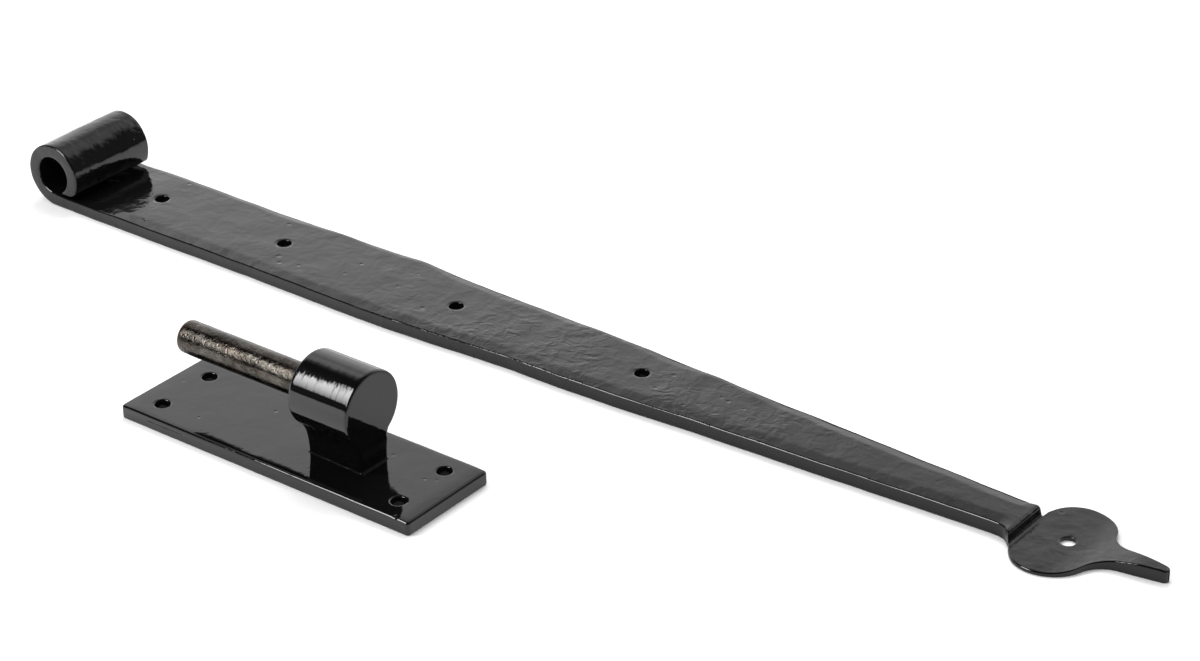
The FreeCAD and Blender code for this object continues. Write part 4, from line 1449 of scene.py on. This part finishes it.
@dataclass
class Studio:
    """The pale table, the soft light and the camera."""

    floor_height: float = -16.02
    floor_reach: float = 6000.0
    floor_shade: float = 0.93
    floor_lift: float = 0.12
    floor_shine: float = 1.9
    soft_light: float = 0.62
    card_shine: float = 2.1
    softbox_aim: tuple[float, float, float] = (275.0, -140.0, 20.0)
    softbox_way: Point = (240.0, 35.0)
    softbox_corners: Table = ((231.0, 15.5), (262.0, 15.5), (262.0, 58.0), (205.5, 52.5))
    softbox_distance: float = 1300.0
    softbox_strength: float = 15.0
    lamp_aim: tuple[float, float, float] = (0.28, -0.03, 0.0)
    lamp_distance: float = 1.7
    eye: tuple[float, float, float] = (1.05656, -0.96844, 0.67539)
    pitch: float = 0.50151
    yaw: float = -0.65575
    roll: float = -0.01006
    lens: float = 96.518
    sensor_width: float = 36.0

    # How bright gloss sees the table, along X and towards the near side, in metres: painted light and shade
    # that only reflections show
    FLOOR_ALONG = ((0.0, 1.0), (0.1, 0.99), (0.17, 0.97), (0.245, 0.79), (0.33, 0.74), (0.6, 0.72))
    FLOOR_NEAR = ((0.09, 0.74), (0.16, 1.0))

    # How bright gloss sees the cards: by degrees round the horizon, and by degrees above it for the cards on
    # the right and on the left, which meet in the last table's stretch
    CARDS_ROUND = (
        (0, 0.05), (51, 0.06), (59, 0.5), (67, 0.85), (99, 0.85), (107, 0.70), (113, 0.58), (118, 0.52),
        (122, 0.54), (126, 0.67), (133, 0.73), (140, 0.74), (150, 0.92), (160, 1.0), (168, 0.8), (174, 0.06),
        (330, 0.03), (360, 0.05),
    )
    CARDS_RIGHT = (
        (-60, 0.5), (-5, 0.62), (4, 0.8), (8, 1.0), (16, 1.0), (24, 0.93), (30, 0.86), (34, 0.78), (40, 0.58),
        (46, 0.52), (52, 0.48), (58, 0.44), (65, 0.06), (90, 0.03),
    )
    CARDS_LEFT = (
        (-60, 0.5), (-5, 0.6), (8, 0.66), (16, 0.74), (24, 0.82), (30, 0.86), (37, 0.85), (44, 0.83),
        (49, 0.7), (51, 0.2), (54, 0.03), (90, 0.03),
    )
    CARDS_MEET = ((139, 0.0), (144, 1.0))

    # The softbox dims towards its foot: heights in metres and shares of its strength
    SOFTBOX_FADE = ((0.39, 0.25), (0.48, 0.45), (0.58, 0.62), (0.71, 0.85), (0.84, 1.0))

    # The lamps: name, azimuth, elevation, width in metres and power in watts
    LAMPS = (("window_lamp", -138, 38, 0.7, 16.0), ("back_lamp", 118, 55, 1.0, 20.0))

    def build_floor(self) -> None:
        """Lay the pale floor, which shows as white and keeps the lamps' shadows, with a painted contact
        shadow and painted light and shade for gloss.
        """
        size, z = self.floor_reach, self.floor_height
        corners = np.array([(-size, -size, z), (size, -size, z), (size, size, z), (-size, size, z)])
        floor = new_object("floor", corners, [(0, 1, 2, 3)])
        material, graph = bare_material("pale_table")
        shade = self.floor_shade
        card = graph.add("ShaderNodeBsdfDiffuse", {"Color": (shade, shade, shade, 1)})
        path = graph.add("ShaderNodeLightPath").outputs
        # Ambient occlusion dims the camera's white glow near the pieces: a painted contact shadow on top of
        # the real shadows on the diffuse card
        contact_shade_ao = graph.add("ShaderNodeAmbientOcclusion", {"Distance": 0.07}, samples=5).outputs["AO"]
        lift = graph.product(path["Is Camera Ray"], graph.product(contact_shade_ao, self.floor_lift))
        both = graph.add("ShaderNodeAddShader", {0: card.outputs[0], 1: graph.glow(lift)})

        # Gloss sees the table as a glow of painted light and shade: brighter in front of the hook and towards
        # the eye, and darker near the pieces by ambient occlusion as painted contact shade
        place = graph.add("ShaderNodeTexCoord").outputs["Object"]
        parts = graph.add("ShaderNodeSeparateXYZ", {"Vector": place}).outputs
        along = graph.ramp(parts["X"], self.FLOOR_ALONG)
        front = graph.ramp(graph.math("SUBTRACT", 0.0, parts["Y"]), self.FLOOR_NEAR)
        painted_floor_reflection = graph.glow(graph.product(along, front, self.floor_shine, contact_shade_ao))
        seen = graph.add("ShaderNodeMixShader", {0: path["Is Glossy Ray"], 1: both.outputs[0], 2: painted_floor_reflection})
        graph.link(seen.outputs[0], graph.add("ShaderNodeOutputMaterial").inputs["Surface"])
        floor.data.materials.append(material)

    def build_world(self) -> None:
        """Surround the table with white for the camera, and with the studio's cards for gloss."""
        world = bpy.data.worlds.new("studio")
        bpy.context.scene.world = world
        world.use_nodes = True
        world.node_tree.nodes.clear()
        graph = Graph(world.node_tree)
        way = graph.add("ShaderNodeTexCoord").outputs["Generated"]
        parts = graph.add("ShaderNodeSeparateXYZ", {"Vector": way}).outputs
        round_angle = graph.math("ARCTAN2", parts["Y"], parts["X"])
        turn = graph.math("FRACT", graph.math("ADD", graph.math("DIVIDE", round_angle, math.tau), 1.0))
        rise = graph.math("ADD", graph.product(parts["Z"], 0.5), 0.5)
        right = graph.ramp(rise, elevation_stops(self.CARDS_RIGHT))
        left = graph.ramp(rise, elevation_stops(self.CARDS_LEFT))
        height = graph.mix(graph.ramp(turn, azimuth_stops(self.CARDS_MEET)), right, left, "FLOAT")
        shine = graph.product(graph.ramp(turn, azimuth_stops(self.CARDS_ROUND)), height, self.card_shine)

        path = graph.add("ShaderNodeLightPath").outputs
        glossy = graph.math("MAXIMUM", path["Is Glossy Ray"], path["Is Transmission Ray"])
        plain = graph.mix(path["Is Camera Ray"], self.soft_light, 1.0, "FLOAT")
        strength = graph.mix(glossy, plain, shine, "FLOAT")
        light = graph.add("ShaderNodeBackground", {"Color": WHITE, "Strength": strength})
        graph.link(light.outputs[0], graph.add("ShaderNodeOutputWorld").inputs["Surface"])

    def build_softbox(self) -> None:
        """Hang the tall softbox that gloss shows as a bright streak, but not in a second reflection."""
        facing = heading(*self.softbox_way)
        ways = [heading(azimuth, elevation) for azimuth, elevation in self.softbox_corners]
        corners = [np.array(self.softbox_aim) + way * self.softbox_distance / (way @ facing) for way in ways]
        card = new_object("softbox", np.array(corners), [(0, 1, 2, 3)])
        material, graph = bare_material("softbox")
        place = graph.add("ShaderNodeTexCoord").outputs["Object"]
        parts = graph.add("ShaderNodeSeparateXYZ", {"Vector": place}).outputs
        fade = graph.ramp(parts["Z"], self.SOFTBOX_FADE)
        depth = graph.add("ShaderNodeLightPath").outputs["Glossy Depth"]
        glow = graph.glow(graph.product(fade, graph.math("LESS_THAN", depth, 1.5), self.softbox_strength))
        graph.link(glow, graph.add("ShaderNodeOutputMaterial").inputs["Surface"])
        card.data.materials.append(material)
        card.visible_camera = card.visible_diffuse = card.visible_shadow = False

    def build_lamps(self) -> None:
        """Hang two soft lamps for the shading and the shadows; their shine is the world's."""
        for name, azimuth, elevation, width, watts in self.LAMPS:
            lamp = bpy.data.lights.new(name, "AREA")
            lamp.shape = "SQUARE"
            lamp.size = width
            lamp.energy = watts
            obj = bpy.data.objects.new(name, lamp)
            bpy.context.scene.collection.objects.link(obj)
            way = Vector(heading(azimuth, elevation))
            obj.location = Vector(self.lamp_aim) + self.lamp_distance * way
            obj.rotation_euler = (-way).to_track_quat("-Z", "Y").to_euler()
            obj.visible_glossy = obj.visible_camera = False

    def build_camera(self) -> None:
        """Stand the camera where the photograph was taken."""
        ahead = Vector((math.sin(self.yaw) * math.cos(self.pitch), math.cos(self.yaw) * math.cos(self.pitch),
                        -math.sin(self.pitch)))
        right = ahead.cross(Vector((0, 0, 1))).normalized()
        up = right.cross(ahead)
        tilted = math.cos(self.roll) * right + math.sin(self.roll) * up
        upright = -math.sin(self.roll) * right + math.cos(self.roll) * up
        camera = bpy.data.cameras.new("camera")
        camera.lens = self.lens
        camera.sensor_width = self.sensor_width
        camera.clip_start, camera.clip_end = 0.01, 100.0
        obj = bpy.data.objects.new("camera", camera)
        bpy.context.scene.collection.objects.link(obj)
        obj.matrix_world = Matrix((
            (tilted.x, upright.x, -ahead.x, self.eye[0]), (tilted.y, upright.y, -ahead.y, self.eye[1]),
            (tilted.z, upright.z, -ahead.z, self.eye[2]), (0, 0, 0, 1),
        ))
        bpy.context.scene.camera = obj


def heading(azimuth: float, elevation: float) -> np.ndarray:
    """The unit vector that points to an azimuth and an elevation in degrees."""
    a, e = math.radians(azimuth), math.radians(elevation)
    return np.array([math.cos(a) * math.cos(e), math.sin(a) * math.cos(e), math.sin(e)])


def azimuth_stops(table: Table) -> Table:
    """Turn a table by degrees round the horizon into a ramp's own."""
    return tuple((degrees / 360, value) for degrees, value in table)


def elevation_stops(table: Table) -> Table:
    """Turn a table by degrees above the horizon into a ramp's own."""
    return tuple(((math.sin(math.radians(degrees)) + 1) / 2, value) for degrees, value in table)


def main() -> None:
    """Build every piece and the studio."""
    logging.basicConfig(level=logging.INFO, format="%(name)s %(message)s")
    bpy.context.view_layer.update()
    bpy.context.scene.view_settings.view_transform = "Standard"
    groups = Groups()
    drills = hole_tree()

    hammered = GlossPaint("paint_on_hammered_iron")
    rolled = GlossPaint(
        "paint_on_rolled_bar", roughness=0.04, roughness_spread=0.03, broad_scale=70.0, fine_scale=420.0,
        fine_share=0.35, wave_depth=0.00014, pit_share=0.03,
    )
    high_gloss = GlossPaint(
        "paint_on_turned_steel", roughness=0.03, roughness_spread=0.02, broad_scale=110.0, fine_scale=640.0,
        fine_share=0.9, grain=(1.0, 0.14, 0.14), wave_depth=0.00006, pit_share=0.0, nib_share=0.015,
        pit_depth=0.00006,
    )
    steel = BareSteel("bare_drawn_steel")

    Band().build(drills, hammered.material(groups))
    hook = Hook()
    hook.build_plate(drills, rolled.material(groups))
    hook.build_boss(high_gloss.material(groups))
    hook.build_pin(steel.material(groups))

    studio = Studio()
    studio.build_floor()
    studio.build_world()
    studio.build_softbox()
    studio.build_lamps()
    studio.build_camera()


if __name__ == "__main__":
    main()
